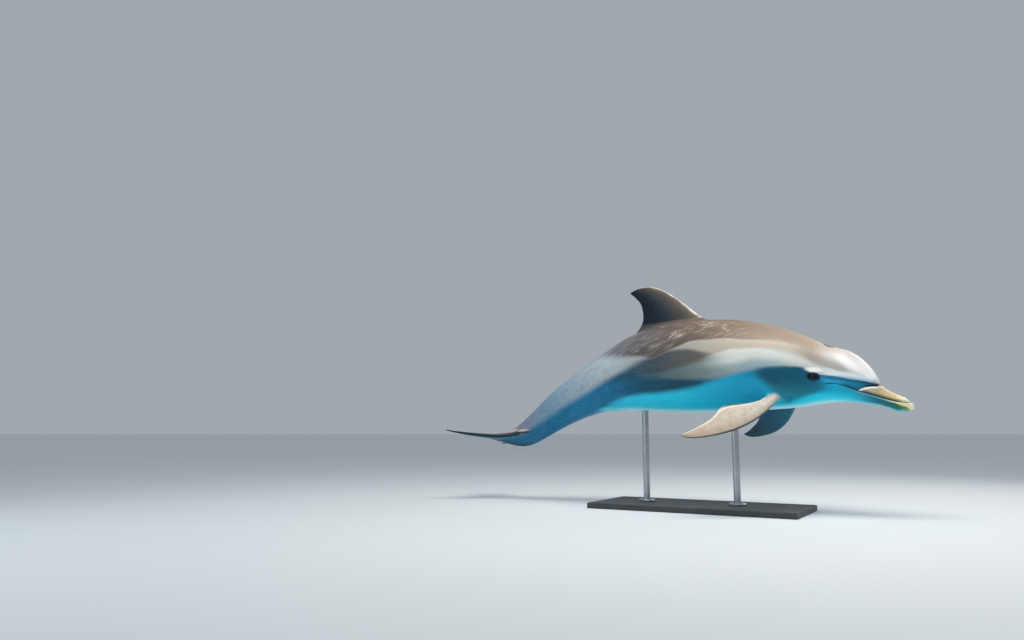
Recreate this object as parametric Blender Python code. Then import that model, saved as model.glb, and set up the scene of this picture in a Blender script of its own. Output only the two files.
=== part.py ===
# Bottlenose dolphin, life size, held on a plain display stand.
# Metres, +Z up, +X toward the snout, +Y the animal's left side.
# The origin is the centre of the stand's foot, on the floor.
import bpy
import math

for ob in list(bpy.data.objects):
    bpy.data.objects.remove(ob, do_unlink=True)

# ------------------------------------------------------------ driving sizes
GAP = 0.0003            # clearance between neighbouring solids

# Stations along the body, each a vertical slice through the trunk:
#   x, back height, belly height, half width, height of the widest point
#   (0 belly .. 1 back), fullness of the section (2 = ellipse)
STATIONS = [
    # name           x      back   belly  half   widest full
    ("fluke_notch", -1.340, 0.376, 0.368, 0.008, 0.50, 2.0),
    ("fluke_mid",   -1.245, 0.398, 0.347, 0.021, 0.50, 2.0),
    ("fluke_root",  -1.170, 0.417, 0.330, 0.032, 0.50, 2.0),
    ("keel_rear",   -1.105, 0.462, 0.319, 0.041, 0.50, 2.0),
    ("stock_rear",  -1.045, 0.511, 0.323, 0.050, 0.50, 2.0),
    ("stock_slim",  -0.975, 0.572, 0.348, 0.060, 0.50, 1.9),
    ("stock_1",     -0.905, 0.631, 0.387, 0.073, 0.50, 1.9),
    ("stock_2",     -0.770, 0.722, 0.453, 0.099, 0.50, 1.9),
    ("stock_3",     -0.637, 0.801, 0.503, 0.127, 0.50, 2.0),
    ("vent",        -0.508, 0.877, 0.529, 0.155, 0.49, 2.0),
    ("fin_rear",    -0.350, 0.958, 0.529, 0.180, 0.49, 2.1),
    ("fin_mid",     -0.160, 1.003, 0.520, 0.204, 0.49, 2.1),
    ("fin_front",   0.054, 1.015, 0.513, 0.217, 0.49, 2.1),
    ("chest",        0.223, 1.006, 0.513, 0.219, 0.48, 2.1),
    ("shoulder",     0.386, 0.970, 0.524, 0.208, 0.47, 2.1),
    ("nape",         0.529, 0.923, 0.533, 0.179, 0.44, 2.1),
    ("eye",          0.630, 0.873, 0.548, 0.146, 0.41, 2.1),
    ("blowhole",     0.710, 0.832, 0.556, 0.128, 0.40, 2.1),
    ("melon_top",    0.765, 0.818, 0.557, 0.117, 0.42, 2.1),
    ("melon_high",   0.815, 0.790, 0.551, 0.103, 0.44, 2.1),
    ("melon_low",    0.872, 0.731, 0.542, 0.083, 0.44, 2.1),
    ("melon_front",  0.897, 0.694, 0.538, 0.073, 0.44, 2.1),
    ("melon_foot",   0.918, 0.641, 0.534, 0.062, 0.45, 2.2),
    ("beak_mid",     0.956, 0.606, 0.518, 0.051, 0.45, 2.3),
    ("beak_front",   0.999, 0.582, 0.504, 0.042, 0.45, 2.4),
    ("upper_tip",    1.024, 0.571, 0.504, 0.036, 0.45, 2.4),
    ("lip_step",     1.038, 0.555, 0.513, 0.030, 0.47, 2.3),
    ("jaw_front",    1.050, 0.545, 0.519, 0.021, 0.50, 2.1),
    ("jaw_tip",      1.057, 0.532, 0.526, 0.004, 0.50, 2.0),
]

TAIL_TWIST = math.radians(8.0)       # the tail rolls, right fluke up
TWIST_FROM, TWIST_TO = -0.60, -1.10  # along x

# Where the body is divided
X_HEAD = 0.540          # head / trunk
X_TAIL = -0.540         # trunk / tail stock

# Mouth line, from the corner of the mouth to past the lip (x, z)
MOUTH = [(0.689, 0.646), (0.738, 0.641), (0.783, 0.626), (0.819, 0.610),
         (0.872, 0.592), (0.915, 0.577), (0.958, 0.562), (1.000, 0.552),
         (1.036, 0.549), (1.100, 0.548)]
THROAT = (0.740, 0.500)              # foot of the cut behind the lower jaw

EYE_AT = (0.630, 0.678)              # x, z of each eye
EYE_R = 0.018                        # eyeball radius
EYE_OUT = 0.0075                     # how far the ball stands past the skin

BLOW_X = 0.698                       # blowhole, a crescent open to the front
BLOW_W = 0.019                       # half its width

# Dorsal fin: leading and trailing edges in side view (x, z), root to tip
FIN_LEAD = [(0.125, 0.940), (0.072, 1.004), (-0.014, 1.080), (-0.131, 1.175),
            (-0.230, 1.224), (-0.312, 1.228), (-0.371, 1.206)]
FIN_TRAIL = [(-0.420, 0.905), (-0.312, 1.002), (-0.299, 1.076), (-0.310, 1.130),
             (-0.330, 1.158), (-0.352, 1.181), (-0.373, 1.198)]
FIN_THICK = [0.056, 0.046, 0.034, 0.024, 0.016, 0.011, 0.006]

# Flipper: a root point, the way the span runs, the way the chord runs, and
# the edges as (distance along the span, distance back along the chord)
# Root, span and chord of each flipper, both given as if on the left side;
# the left one is held a little lower and further forward.
FLIP_POSE = {"right": ((0.475, 0.155, 0.565), (-0.471, 0.708, -0.526), (-0.745, 0.0, 0.667)),
             "left": ((0.497, 0.155, 0.550), (-0.473, 0.723, -0.503), (-0.729, 0.0, 0.685))}
FLIP_LEAD = [(-0.070, 0.020), (0.060, 0.004), (0.190, 0.004), (0.320, 0.032),
             (0.440, 0.089), (0.508, 0.136), (0.532, 0.169)]
FLIP_TRAIL = [(-0.070, 0.076), (0.060, 0.063), (0.150, 0.101), (0.250, 0.158),
              (0.350, 0.146), (0.470, 0.163), (0.530, 0.180)]
FLIP_THICK = [0.042, 0.037, 0.027, 0.020, 0.014, 0.009, 0.005]

# Fluke: edges in plan (x, y) for the left one, and the height of its middle
FLUKE_LEAD = [(-1.050, 0.000), (-1.095, 0.045), (-1.162, 0.100), (-1.250, 0.170),
              (-1.338, 0.240), (-1.400, 0.292), (-1.436, 0.328)]
FLUKE_TRAIL = [(-1.330, 0.0004), (-1.342, 0.030), (-1.353, 0.080), (-1.360, 0.150),
               (-1.380, 0.225), (-1.408, 0.285), (-1.441, 0.325)]
FLUKE_THICK = [0.040, 0.037, 0.031, 0.023, 0.016, 0.010, 0.005]
FLUKE_Z = 0.372         # height of the flukes' middle at the notch
FLUKE_RISE = 0.035      # how much the leading edge climbs toward the root
# Each fluke's tilt (times y) and upward curl of its tip (times y cubed)
FLUKE_FORM = {"right": (-0.057, 0.60), "left": (0.010, 0.0)}

# Stand
BASE_L, BASE_W, BASE_T = 1.100, 0.500, 0.030
BASE_EDGE = 0.006
ROD_R = 0.018
ROD_FRONT_X, ROD_REAR_X = 0.200, -0.300
FLANGE_R, FLANGE_T = 0.046, 0.012

SEGS = 30               # facets round the body


# ------------------------------------------------------------ interpolation
def tangents(xs, ys):
    """Slopes of a smooth curve that never overshoots its points."""
    n = len(xs)
    h = [xs[i + 1] - xs[i] for i in range(n - 1)]
    d = [(ys[i + 1] - ys[i]) / h[i] for i in range(n - 1)]
    m = [0.0] * n
    for i in range(1, n - 1):
        if d[i - 1] * d[i] > 0:
            w1, w2 = 2 * h[i] + h[i - 1], h[i] + 2 * h[i - 1]
            m[i] = (w1 + w2) / (w1 / d[i - 1] + w2 / d[i])
    m[0], m[-1] = d[0], d[-1]
    return m


def curve(xs, ys):
    m = tangents(xs, ys)

    def f(x):
        x = min(max(x, xs[0]), xs[-1])
        i = 0
        while i < len(xs) - 2 and x > xs[i + 1]:
            i += 1
        h = xs[i + 1] - xs[i]
        t = (x - xs[i]) / h
        return ((1 + 2 * t) * (1 - t) ** 2 * ys[i] + t * (1 - t) ** 2 * h * m[i]
                + t * t * (3 - 2 * t) * ys[i + 1] + t * t * (t - 1) * h * m[i + 1])
    return f


def path(points):
    """A smooth curve through points of any dimension, for t from 0 to 1."""
    n = len(points)
    dim = len(points[0])

    def f(t):
        u = min(max(t, 0.0), 1.0) * (n - 1)
        i = min(int(u), n - 2)
        u -= i
        p0 = points[max(i - 1, 0)]
        p1, p2 = points[i], points[i + 1]
        p3 = points[min(i + 2, n - 1)]
        return [0.5 * (2 * p1[k] + (p2[k] - p0[k]) * u
                       + (2 * p0[k] - 5 * p1[k] + 4 * p2[k] - p3[k]) * u * u
                       + (3 * p1[k] - p0[k] - 3 * p2[k] + p3[k]) * u ** 3)
                for k in range(dim)]
    return f


def smooth(t):
    t = min(max(t, 0.0), 1.0)
    return t * t * (3 - 2 * t)


XS = [s[1] for s in STATIONS]
back, belly, half, widest, full = (curve(XS, [s[k] for s in STATIONS]) for k in range(2, 7))


def twist(x, y, z):
    """Roll the tail about the body's middle line."""
    a = -TAIL_TWIST * smooth((x - TWIST_FROM) / (TWIST_TO - TWIST_FROM))
    zc = 0.5 * (back(x) + belly(x))
    c, s = math.cos(a), math.sin(a)
    return (x, y * c - (z - zc) * s, zc + y * s + (z - zc) * c)


def ring(x, grow=0.0, segs=SEGS):
    zt, zb, w = back(x) + grow, belly(x) - grow, half(x) + grow
    zm = zb + widest(x) * (zt - zb)
    n = full(x)
    pts = []
    for k in range(segs):
        a = 2 * math.pi * k / segs - math.pi / 2
        c, s = math.cos(a), math.sin(a)
        q = (abs(c) ** n + abs(s) ** n) ** (-1.0 / n)
        pts.append(twist(x, w * c * q, zm + (zt - zm if s > 0 else zm - zb) * s * q))
    return pts


# ------------------------------------------------------------ mesh helpers
def make(name, verts, faces, parent_col=None):
    me = bpy.data.meshes.new(name)
    me.from_pydata([tuple(v) for v in verts], [], faces)
    me.validate()
    me.update()
    ob = bpy.data.objects.new(name, me)
    bpy.context.scene.collection.objects.link(ob)
    return ob


def loft(name, rings, flip=False):
    """Skin a list of closed loops and cap both ends."""
    n = len(rings[0])
    verts = [p for r in rings for p in r]
    faces = []
    for i in range(len(rings) - 1):
        for k in range(n):
            a, b = i * n + k, i * n + (k + 1) % n
            faces.append((a, b, b + n, a + n))
    faces.append(tuple(reversed(range(n))))
    faces.append(tuple(range((len(rings) - 1) * n, len(rings) * n)))
    if flip:
        faces = [tuple(reversed(f)) for f in faces]
    return make(name, verts, faces)


def hide(ob):
    ob.hide_render = True
    ob.display_type = 'WIRE'
    return ob


def cut(ob, cutter, op='DIFFERENCE'):
    m = ob.modifiers.new(op.title() + str(len(ob.modifiers)), 'BOOLEAN')
    m.operation = op
    m.solver = 'EXACT'
    m.object = cutter
    return ob


def round_shade(ob, angle=40):
    ob.data.shade_smooth()
    ob.data.set_sharp_from_angle(angle=math.radians(angle))
    return ob


def material(name, color, rough, metal=0.0):
    m = bpy.data.materials.new(name)
    m.use_nodes = True
    b = m.node_tree.nodes["Principled BSDF"]
    b.inputs["Base Color"].default_value = (*color, 1)
    b.inputs["Roughness"].default_value = rough
    b.inputs["Metallic"].default_value = metal
    return m


SKIN = material("skin_back", (0.20, 0.17, 0.16), 0.35)
PALE = material("skin_side", (0.47, 0.46, 0.46), 0.35)
FINS = material("skin_fin", (0.15, 0.13, 0.12), 0.4)
JAW = material("skin_jaw", (0.62, 0.57, 0.46), 0.35)
FLIP = material("skin_flipper", (0.43, 0.35, 0.29), 0.4)
EYE = material("eye", (0.015, 0.012, 0.010), 0.08)
BASE = material("stand_paint", (0.035, 0.037, 0.040), 0.45)
STEEL = material("stand_steel", (0.55, 0.56, 0.57), 0.3, 1.0)


# ------------------------------------------------------------ body
def step_at(x):
    """Slice spacing: close together where the outline bends."""
    for limit, step in ((1.000, 0.0062), (0.840, 0.0135), (0.580, 0.024), (-1.000, 0.055)):
        if x > limit:
            return step
    return 0.030


def all_slices():
    marks = [X_END, X_TAIL, X_HEAD, X_NOSE]
    out = [X_END]
    for a, b in zip(marks, marks[1:]):
        x = a + step_at(a)
        while x < b - 0.4 * step_at(x):
            out.append(x)
            x += step_at(x)
        out.append(b)
    return out


def body(name, x0, x1, grow=0.0):
    xs = [x0] + [x for x in SLICES if x0 + 0.001 < x < x1 - 0.001] + [x1]
    return round_shade(loft(name, [ring(x, grow) for x in xs]))


X_END, X_NOSE = XS[0], XS[-1]
SLICES = all_slices()
tail = body("tail_stock", X_END, X_TAIL - GAP / 2)
trunk = body("trunk", X_TAIL + GAP / 2, X_HEAD - GAP / 2)
head = body("head", X_HEAD + GAP / 2, X_NOSE)
jaw = body("lower_jaw", X_HEAD + GAP / 2, X_NOSE)
for ob, m in ((tail, PALE), (trunk, SKIN), (head, PALE), (jaw, JAW)):
    ob.data.materials.append(m)

# The lower jaw is the part of the head below the mouth line and ahead of
# a cut that runs from the corner of the mouth down to the throat.
mouth = path([(x, 0.0, z) for x, z in MOUTH])


def jaw_block(name, grow):
    edge = [mouth(i / 24.0) for i in range(25)]
    side = [(p[0] - (grow if i == 0 else 0), p[2] + grow) for i, p in enumerate(edge)]
    prof = side + [(1.1, 0.40), (THROAT[0] - grow, 0.40), (THROAT[0] - grow, THROAT[1])]
    n = len(prof)
    verts = [(x, -0.3, z) for x, z in prof] + [(x, 0.3, z) for x, z in prof]
    faces = [tuple(reversed(range(n))), tuple(range(n, 2 * n))]
    for i in range(n):
        j = (i + 1) % n
        faces.append((i, j, j + n, i + n))
    return hide(make(name, verts, faces))


cut(head, jaw_block("cut_jaw_out", GAP / 2))
cut(jaw, jaw_block("cut_jaw_in", -GAP / 2), 'INTERSECT')


# Eyes, each a ball in a socket of its own size plus the clearance
def surface_y(x, z):
    """Half width of the body at a height, at one slice."""
    zt, zb, w, n = back(x), belly(x), half(x), full(x)
    zm = zb + widest(x) * (zt - zb)
    v = abs(z - zm) / ((zt - zm) if z > zm else (zm - zb))
    return w * (1 - v ** n) ** (1.0 / n)


def ball(name, centre, radius, segs=16, rings=10):
    bpy.ops.mesh.primitive_uv_sphere_add(segments=segs, ring_count=rings,
                                         radius=radius, location=centre,
                                         rotation=(math.pi / 2, 0, 0))
    ob = bpy.context.object
    ob.name = ob.data.name = name
    bpy.ops.object.transform_apply(location=True, rotation=True, scale=True)
    return round_shade(ob, 60)


eye_y = surface_y(*EYE_AT) - (EYE_R - EYE_OUT)
for side, s in (("left", 1), ("right", -1)):
    c = (EYE_AT[0], s * eye_y, EYE_AT[1])
    ball("eye_" + side, c, EYE_R).data.materials.append(EYE)
    cut(head, hide(ball("cut_socket_" + side, c, EYE_R + 0.0005)))


# Blowhole: a shallow crescent groove across the crown
def blowhole():
    rings = []
    top = back(BLOW_X)
    for i in range(13):
        t = i / 12.0 * 2 - 1
        r = 0.0004 + 0.0034 * math.sqrt(max(0.0, 1 - t * t))
        cx = BLOW_X - 0.010 * t * t
        cy = BLOW_W * t
        cz = top - 0.2 * (cx - BLOW_X) - 0.0012 - 2.4 * cy * cy
        rings.append([(cx + r * math.cos(a), cy, cz + 1.6 * r * math.sin(a))
                      for a in (2 * math.pi * k / 10 for k in range(10))])
    return hide(loft("cut_blowhole", rings, flip=True))


cut(head, blowhole())


# ------------------------------------------------------------ fins
def foil(c):
    """Half thickness of a fin along its chord, 1 at its thickest."""
    return (2.969 * math.sqrt(c) - 1.260 * c - 3.516 * c * c
            + 2.843 * c ** 3 - 1.036 * c ** 4)


def fin(name, place, lead, trail, thick, spans=12, chords=8, edge=0.0008):
    """Loft a fin. place(u, v, w) puts an edge point (u, v) at height w
    above the fin's own plane."""
    le, te, th = path(lead), path(trail), path([(t,) for t in thick])
    rings = []
    for i in range(spans + 1):
        t = i / spans
        t = 1 - (1 - t) ** 1.25
        a, b, h = le(t), te(t), th(t)[0] / 2
        loop = []
        cs = [0.5 - 0.5 * math.cos(math.pi * k / chords) for k in range(chords + 1)]
        for c in cs:
            loop.append((a[0] + (b[0] - a[0]) * c, a[1] + (b[1] - a[1]) * c,
                         max(h * foil(c), edge if c > 0.5 else 0.0)))
        for c in reversed(cs[1:]):
            loop.append((a[0] + (b[0] - a[0]) * c, a[1] + (b[1] - a[1]) * c,
                         -max(h * foil(c), edge if c > 0.5 else 0.0)))
        rings.append([place(*p) for p in loop])
    return loft(name, rings)


def unit(v):
    d = math.sqrt(sum(q * q for q in v))
    return [q / d for q in v]


def cross(a, b):
    return [a[1] * b[2] - a[2] * b[1], a[2] * b[0] - a[0] * b[2], a[0] * b[1] - a[1] * b[0]]


def finish(ob, mat, other=None):
    """Turn the faces outward and cut the fin clear of the body."""
    import bmesh
    bm = bmesh.new()
    bm.from_mesh(ob.data)
    bmesh.ops.remove_doubles(bm, verts=bm.verts, dist=1e-6)
    bmesh.ops.recalc_face_normals(bm, faces=bm.faces)
    bm.to_mesh(ob.data)
    bm.free()
    ob.data.materials.append(mat)
    round_shade(ob)
    cut(ob, CLEAR)
    return ob


# The whole body, a little larger, clears every fin and rod from the flesh.
CLEAR = hide(body("cut_body", X_END, X_NOSE, GAP * 1.4))

finish(fin("dorsal_fin", lambda u, v, w: (u, w, v), FIN_LEAD, FIN_TRAIL, FIN_THICK), FINS)


def flipper_place(side, s):
    root, span, chord = FLIP_POSE[side]
    span, chord = unit(span), unit(chord)
    span = unit([span[k] - sum(span[q] * chord[q] for q in range(3)) * chord[k] for k in range(3)])
    up = cross(span, chord)
    if up[2] < 0:
        up = [-q for q in up]

    def f(u, v, w):
        p = [root[k] + span[k] * u + chord[k] * v + up[k] * w for k in range(3)]
        return (p[0], s * p[1], p[2])
    return f


def fluke_place(side, s):
    tilt, curl = FLUKE_FORM[side]

    def f(u, v, w):
        z = (FLUKE_Z + tilt * v + curl * v ** 3
             + FLUKE_RISE * smooth((u + 1.32) / 0.24) * (1 - smooth(v / 0.14)))
        return twist(u, s * max(v, GAP / 2), z + w)
    return f


for side, s in (("left", 1), ("right", -1)):
    finish(fin("flipper_" + side, flipper_place(side, s), FLIP_LEAD, FLIP_TRAIL, FLIP_THICK), FLIP)
    finish(fin("fluke_" + side, fluke_place(side, s), FLUKE_LEAD, FLUKE_TRAIL, FLUKE_THICK), FINS)


# ------------------------------------------------------------ stand
def disc(name, x, z0, z1, r, segs=24, bevel=0.0):
    bpy.ops.mesh.primitive_cylinder_add(vertices=segs, radius=r, depth=z1 - z0,
                                        location=(x, 0, (z0 + z1) / 2))
    ob = bpy.context.object
    ob.name = ob.data.name = name
    bpy.ops.object.transform_apply(location=True, rotation=True, scale=True)
    if bevel:
        m = ob.modifiers.new("Edge", 'BEVEL')
        m.width, m.segments, m.limit_method = bevel, 1, 'ANGLE'
        m.angle_limit = math.radians(60)
    return round_shade(ob)


bpy.ops.mesh.primitive_cube_add(size=1, location=(0, 0, BASE_T / 2))
base = bpy.context.object
base.name = base.data.name = "stand_base"
base.scale = (BASE_L, BASE_W, BASE_T)
bpy.ops.object.transform_apply(location=True, rotation=True, scale=True)
m = base.modifiers.new("Edge", 'BEVEL')
m.width, m.segments = BASE_EDGE, 2
base.data.materials.append(BASE)

for name, x in (("front", ROD_FRONT_X), ("rear", ROD_REAR_X)):
    z0 = BASE_T + GAP
    flange = disc("stand_flange_" + name, x, z0, z0 + FLANGE_T, FLANGE_R, bevel=0.003)
    flange.data.materials.append(STEEL)
    hole = hide(disc("cut_flange_" + name, x, z0 - 0.01, z0 + FLANGE_T + 0.01, ROD_R + GAP))
    cut(flange, hole)
    rod = disc("stand_rod_" + name, x, z0, belly(x) + 0.060, ROD_R)
    rod.data.materials.append(STEEL)
    cut(rod, CLEAR)
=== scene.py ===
# Looks for the bottlenose dolphin on its display stand.
# One skin covers the flesh, with lids, mouth, blowhole and folds; eyes and
# stand parts stay pieces of their own.
import math

import bmesh
import bpy
import numpy as np
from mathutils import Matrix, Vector


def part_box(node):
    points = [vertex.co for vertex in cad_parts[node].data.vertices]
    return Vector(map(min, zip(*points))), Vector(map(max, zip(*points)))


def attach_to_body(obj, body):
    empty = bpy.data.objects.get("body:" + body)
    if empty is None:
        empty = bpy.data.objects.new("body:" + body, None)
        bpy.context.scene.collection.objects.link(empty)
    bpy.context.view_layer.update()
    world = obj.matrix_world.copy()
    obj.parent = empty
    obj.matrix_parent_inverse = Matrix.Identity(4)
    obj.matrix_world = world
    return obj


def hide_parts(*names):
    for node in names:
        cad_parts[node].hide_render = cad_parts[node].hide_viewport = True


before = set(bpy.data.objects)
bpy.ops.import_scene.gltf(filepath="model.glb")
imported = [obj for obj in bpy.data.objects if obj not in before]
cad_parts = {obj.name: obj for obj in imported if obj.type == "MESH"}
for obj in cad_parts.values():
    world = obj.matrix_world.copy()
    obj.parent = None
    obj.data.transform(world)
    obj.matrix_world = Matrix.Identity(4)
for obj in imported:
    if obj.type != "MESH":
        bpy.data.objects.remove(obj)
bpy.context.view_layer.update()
scene = bpy.context.scene
rng = np.random.default_rng(7)
HALF_PI = math.pi / 2

# ------------------------------------------------------------ the body's form
# x, back height, belly height, half width, height of the widest point, fullness
STATIONS = np.array([
    (-1.340, 0.376, 0.368, 0.008, 0.50, 2.0),   # notch of the flukes
    (-1.245, 0.398, 0.347, 0.021, 0.50, 2.0),
    (-1.170, 0.417, 0.330, 0.032, 0.50, 2.0),
    (-1.105, 0.462, 0.319, 0.041, 0.50, 2.0),   # keel
    (-1.045, 0.511, 0.323, 0.050, 0.50, 2.0),
    (-0.975, 0.572, 0.348, 0.060, 0.50, 1.9),   # tail stock
    (-0.905, 0.631, 0.387, 0.073, 0.50, 1.9),
    (-0.770, 0.722, 0.453, 0.099, 0.50, 1.9),
    (-0.637, 0.801, 0.503, 0.127, 0.50, 2.0),
    (-0.508, 0.877, 0.529, 0.155, 0.49, 2.0),   # vent
    (-0.350, 0.958, 0.529, 0.180, 0.49, 2.1),
    (-0.160, 1.003, 0.520, 0.204, 0.49, 2.1),
    (0.054, 1.015, 0.513, 0.217, 0.49, 2.1),    # front of the dorsal fin
    (0.223, 1.006, 0.513, 0.219, 0.48, 2.1),    # chest
    (0.386, 0.970, 0.524, 0.208, 0.47, 2.1),
    (0.529, 0.923, 0.533, 0.179, 0.44, 2.1),    # nape
    (0.630, 0.873, 0.548, 0.146, 0.41, 2.1),    # eye
    (0.710, 0.832, 0.556, 0.128, 0.40, 2.1),    # blowhole
    (0.765, 0.818, 0.557, 0.117, 0.42, 2.1),    # melon
    (0.815, 0.790, 0.551, 0.103, 0.44, 2.1),
    (0.872, 0.731, 0.542, 0.083, 0.44, 2.1),
    (0.897, 0.694, 0.538, 0.073, 0.44, 2.1),
    (0.918, 0.641, 0.534, 0.062, 0.45, 2.2),    # foot of the melon
    (0.956, 0.606, 0.518, 0.051, 0.45, 2.3),    # beak
    (0.999, 0.582, 0.504, 0.042, 0.45, 2.4),
    (1.024, 0.571, 0.504, 0.036, 0.45, 2.4),
    (1.038, 0.555, 0.513, 0.030, 0.47, 2.3),
    (1.050, 0.545, 0.519, 0.021, 0.50, 2.1),
    (1.057, 0.532, 0.526, 0.004, 0.50, 2.0),    # tip of the lower jaw
])
X_END, X_NOSE = STATIONS[0, 0], STATIONS[-1, 0]
TAIL_TWIST = math.radians(8.0)
TWIST_FROM, TWIST_TO = -0.60, -1.10
MOUTH = np.array([(0.689, 0.646), (0.738, 0.641), (0.783, 0.626), (0.819, 0.610),
                  (0.872, 0.592), (0.915, 0.577), (0.958, 0.562), (1.000, 0.552),
                  (1.036, 0.549), (1.100, 0.548)])
EYE_X, EYE_Z, EYE_R = 0.630, 0.678, 0.018
BLOW_X = 0.714

FIN_LEAD = [(0.125, 0.940), (0.072, 1.004), (-0.014, 1.080), (-0.131, 1.175),
            (-0.230, 1.224), (-0.312, 1.228), (-0.371, 1.206)]
FIN_TRAIL = [(-0.420, 0.905), (-0.312, 1.002), (-0.299, 1.076), (-0.310, 1.130),
             (-0.330, 1.158), (-0.352, 1.181), (-0.373, 1.198)]
FIN_THICK = [0.056, 0.046, 0.034, 0.024, 0.016, 0.011, 0.006]
FLIP_POSE = {-1: ((0.475, 0.155, 0.565), (-0.471, 0.708, -0.526), (-0.745, 0.0, 0.667)),
             1: ((0.497, 0.155, 0.550), (-0.473, 0.723, -0.503), (-0.729, 0.0, 0.685))}
FLIP_LEAD = [(-0.070, 0.020), (0.060, 0.004), (0.190, 0.004), (0.320, 0.032),
             (0.440, 0.089), (0.508, 0.136), (0.532, 0.169)]
FLIP_TRAIL = [(-0.070, 0.076), (0.060, 0.063), (0.150, 0.101), (0.250, 0.158),
              (0.350, 0.146), (0.470, 0.163), (0.530, 0.180)]
FLIP_THICK = [0.042, 0.037, 0.027, 0.020, 0.014, 0.009, 0.005]
FLUKE_LEAD = [(-1.050, 0.000), (-1.095, 0.045), (-1.162, 0.100), (-1.250, 0.170),
              (-1.338, 0.240), (-1.400, 0.292), (-1.436, 0.328)]
FLUKE_TRAIL = [(-1.330, 0.0004), (-1.342, 0.030), (-1.353, 0.080), (-1.360, 0.150),
               (-1.380, 0.225), (-1.408, 0.285), (-1.441, 0.325)]
FLUKE_THICK = [0.040, 0.037, 0.031, 0.023, 0.016, 0.010, 0.005]
FLUKE_Z, FLUKE_RISE = 0.372, 0.035
FLUKE_FORM = {-1: (-0.057, 0.60), 1: (0.010, 0.0)}      # tilt, and curl of the tip


def pchip(xs, ys):
    """A smooth curve that never overshoots its points, for arrays."""
    xs, ys = np.asarray(xs, float), np.asarray(ys, float)
    h, n = np.diff(xs), len(xs)
    d = np.diff(ys) / h
    m = np.zeros(n)
    for i in range(1, n - 1):
        if d[i - 1] * d[i] > 0:
            w1, w2 = 2 * h[i] + h[i - 1], h[i] + 2 * h[i - 1]
            m[i] = (w1 + w2) / (w1 / d[i - 1] + w2 / d[i])
    m[0], m[-1] = d[0], d[-1]

    def f(x):
        x = np.clip(x, xs[0], xs[-1])
        i = np.clip(np.searchsorted(xs, x) - 1, 0, n - 2)
        t = (x - xs[i]) / h[i]
        return ((1 + 2 * t) * (1 - t) ** 2 * ys[i] + t * (1 - t) ** 2 * h[i] * m[i]
                + t * t * (3 - 2 * t) * ys[i + 1] + t * t * (t - 1) * h[i] * m[i + 1])
    return f


def smooth(t):
    t = np.clip(t, 0.0, 1.0)
    return t * t * (3 - 2 * t)


# The stations' curves, faired: each is averaged over a window that is wide
# along the trunk and narrow where the melon, beak and jaw change quickly.
FINE = np.arange(X_END, X_NOSE + 0.0005, 0.001)


def fair(k):
    raw = pchip(STATIONS[:, 0], STATIONS[:, k])(FINE)
    wide = 0.030 * (1 - smooth((FINE - 0.62) / 0.20)) + 0.004
    wide = np.minimum(wide, 0.35 * np.minimum(FINE - X_END, X_NOSE - FINE) + 0.0003)
    out = np.empty_like(raw)
    for i, (x, s) in enumerate(zip(FINE, wide)):
        j0, j1 = max(0, i - int(3 * s / 0.001) - 1), min(len(FINE), i + int(3 * s / 0.001) + 2)
        w = np.exp(-0.5 * ((FINE[j0:j1] - x) / s) ** 2)
        out[i] = (w * raw[j0:j1]).sum() / w.sum()
    return lambda x: np.interp(x, FINE, out)


TIP_FROM = 1.044


def round_tip(f, mid):
    """Close the jaw's end as an ellipse."""
    f0 = float(f(TIP_FROM))
    length = X_NOSE - TIP_FROM + 0.0003

    def g(x):
        t = np.clip((np.asarray(x, float) - TIP_FROM) / length, 0, 1)
        return np.where(np.asarray(x) > TIP_FROM, mid + (f0 - mid) * np.sqrt(1 - t ** 2.2), f(x))
    return g


back, belly, half, widest, full = (fair(k) for k in range(1, 6))
back, belly, half = round_tip(back, 0.529), round_tip(belly, 0.529), round_tip(half, 0.0)
mouth_z = pchip(MOUTH[:, 0], MOUTH[:, 1])


def twist(p):
    """Roll the tail about the body's middle line, right fluke up."""
    x, y, z = p[..., 0], p[..., 1], p[..., 2]
    a = -TAIL_TWIST * smooth((x - TWIST_FROM) / (TWIST_TO - TWIST_FROM))
    zc = 0.5 * (back(x) + belly(x))
    c, s = np.cos(a), np.sin(a)
    return np.stack([x, y * c - (z - zc) * s, zc + y * s + (z - zc) * c], -1)


def untwist(p):
    x, y, z = p[..., 0], p[..., 1], p[..., 2]
    a = TAIL_TWIST * smooth((x - TWIST_FROM) / (TWIST_TO - TWIST_FROM))
    zc = 0.5 * (back(x) + belly(x))
    c, s = np.cos(a), np.sin(a)
    return np.stack([x, y * c - (z - zc) * s, zc + y * s + (z - zc) * c], -1)


def section(x, a):
    """The body's surface, untwisted, at slice x and angle a (-90 deg belly)."""
    x, a = np.broadcast_arrays(np.asarray(x, float), np.asarray(a, float))
    zt, zb, w, n = back(x), belly(x), half(x), full(x)
    zm = zb + widest(x) * (zt - zb)
    c, s = np.cos(a), np.sin(a)
    q = (np.abs(c) ** n + np.abs(s) ** n) ** (-1.0 / n)
    h = np.where(s > 0, zt - zm, zm - zb)
    return np.stack([x, w * c * q, zm + h * s * q], -1)


def surface(x, a):
    return twist(section(x, a))


def outside(p):
    """About how far a point stands off the body, in metres."""
    p = untwist(np.asarray(p, float))
    x, y, z = p[..., 0], p[..., 1], p[..., 2]
    xc = np.clip(x, X_END + 0.002, X_NOSE - 0.002)
    zt, zb, w, n = back(xc), belly(xc), half(xc), full(xc)
    zm = zb + widest(xc) * (zt - zb)
    h = np.where(z > zm, zt - zm, zm - zb)
    r = ((np.abs(y) / w) ** n + (np.abs(z - zm) / h) ** n) ** (1.0 / n)
    size = np.sqrt(y * y + (z - zm) ** 2)
    return np.where(r > 1e-6, size * (1 - 1 / np.maximum(r, 1e-6)), -w) + np.abs(x - xc)


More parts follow.
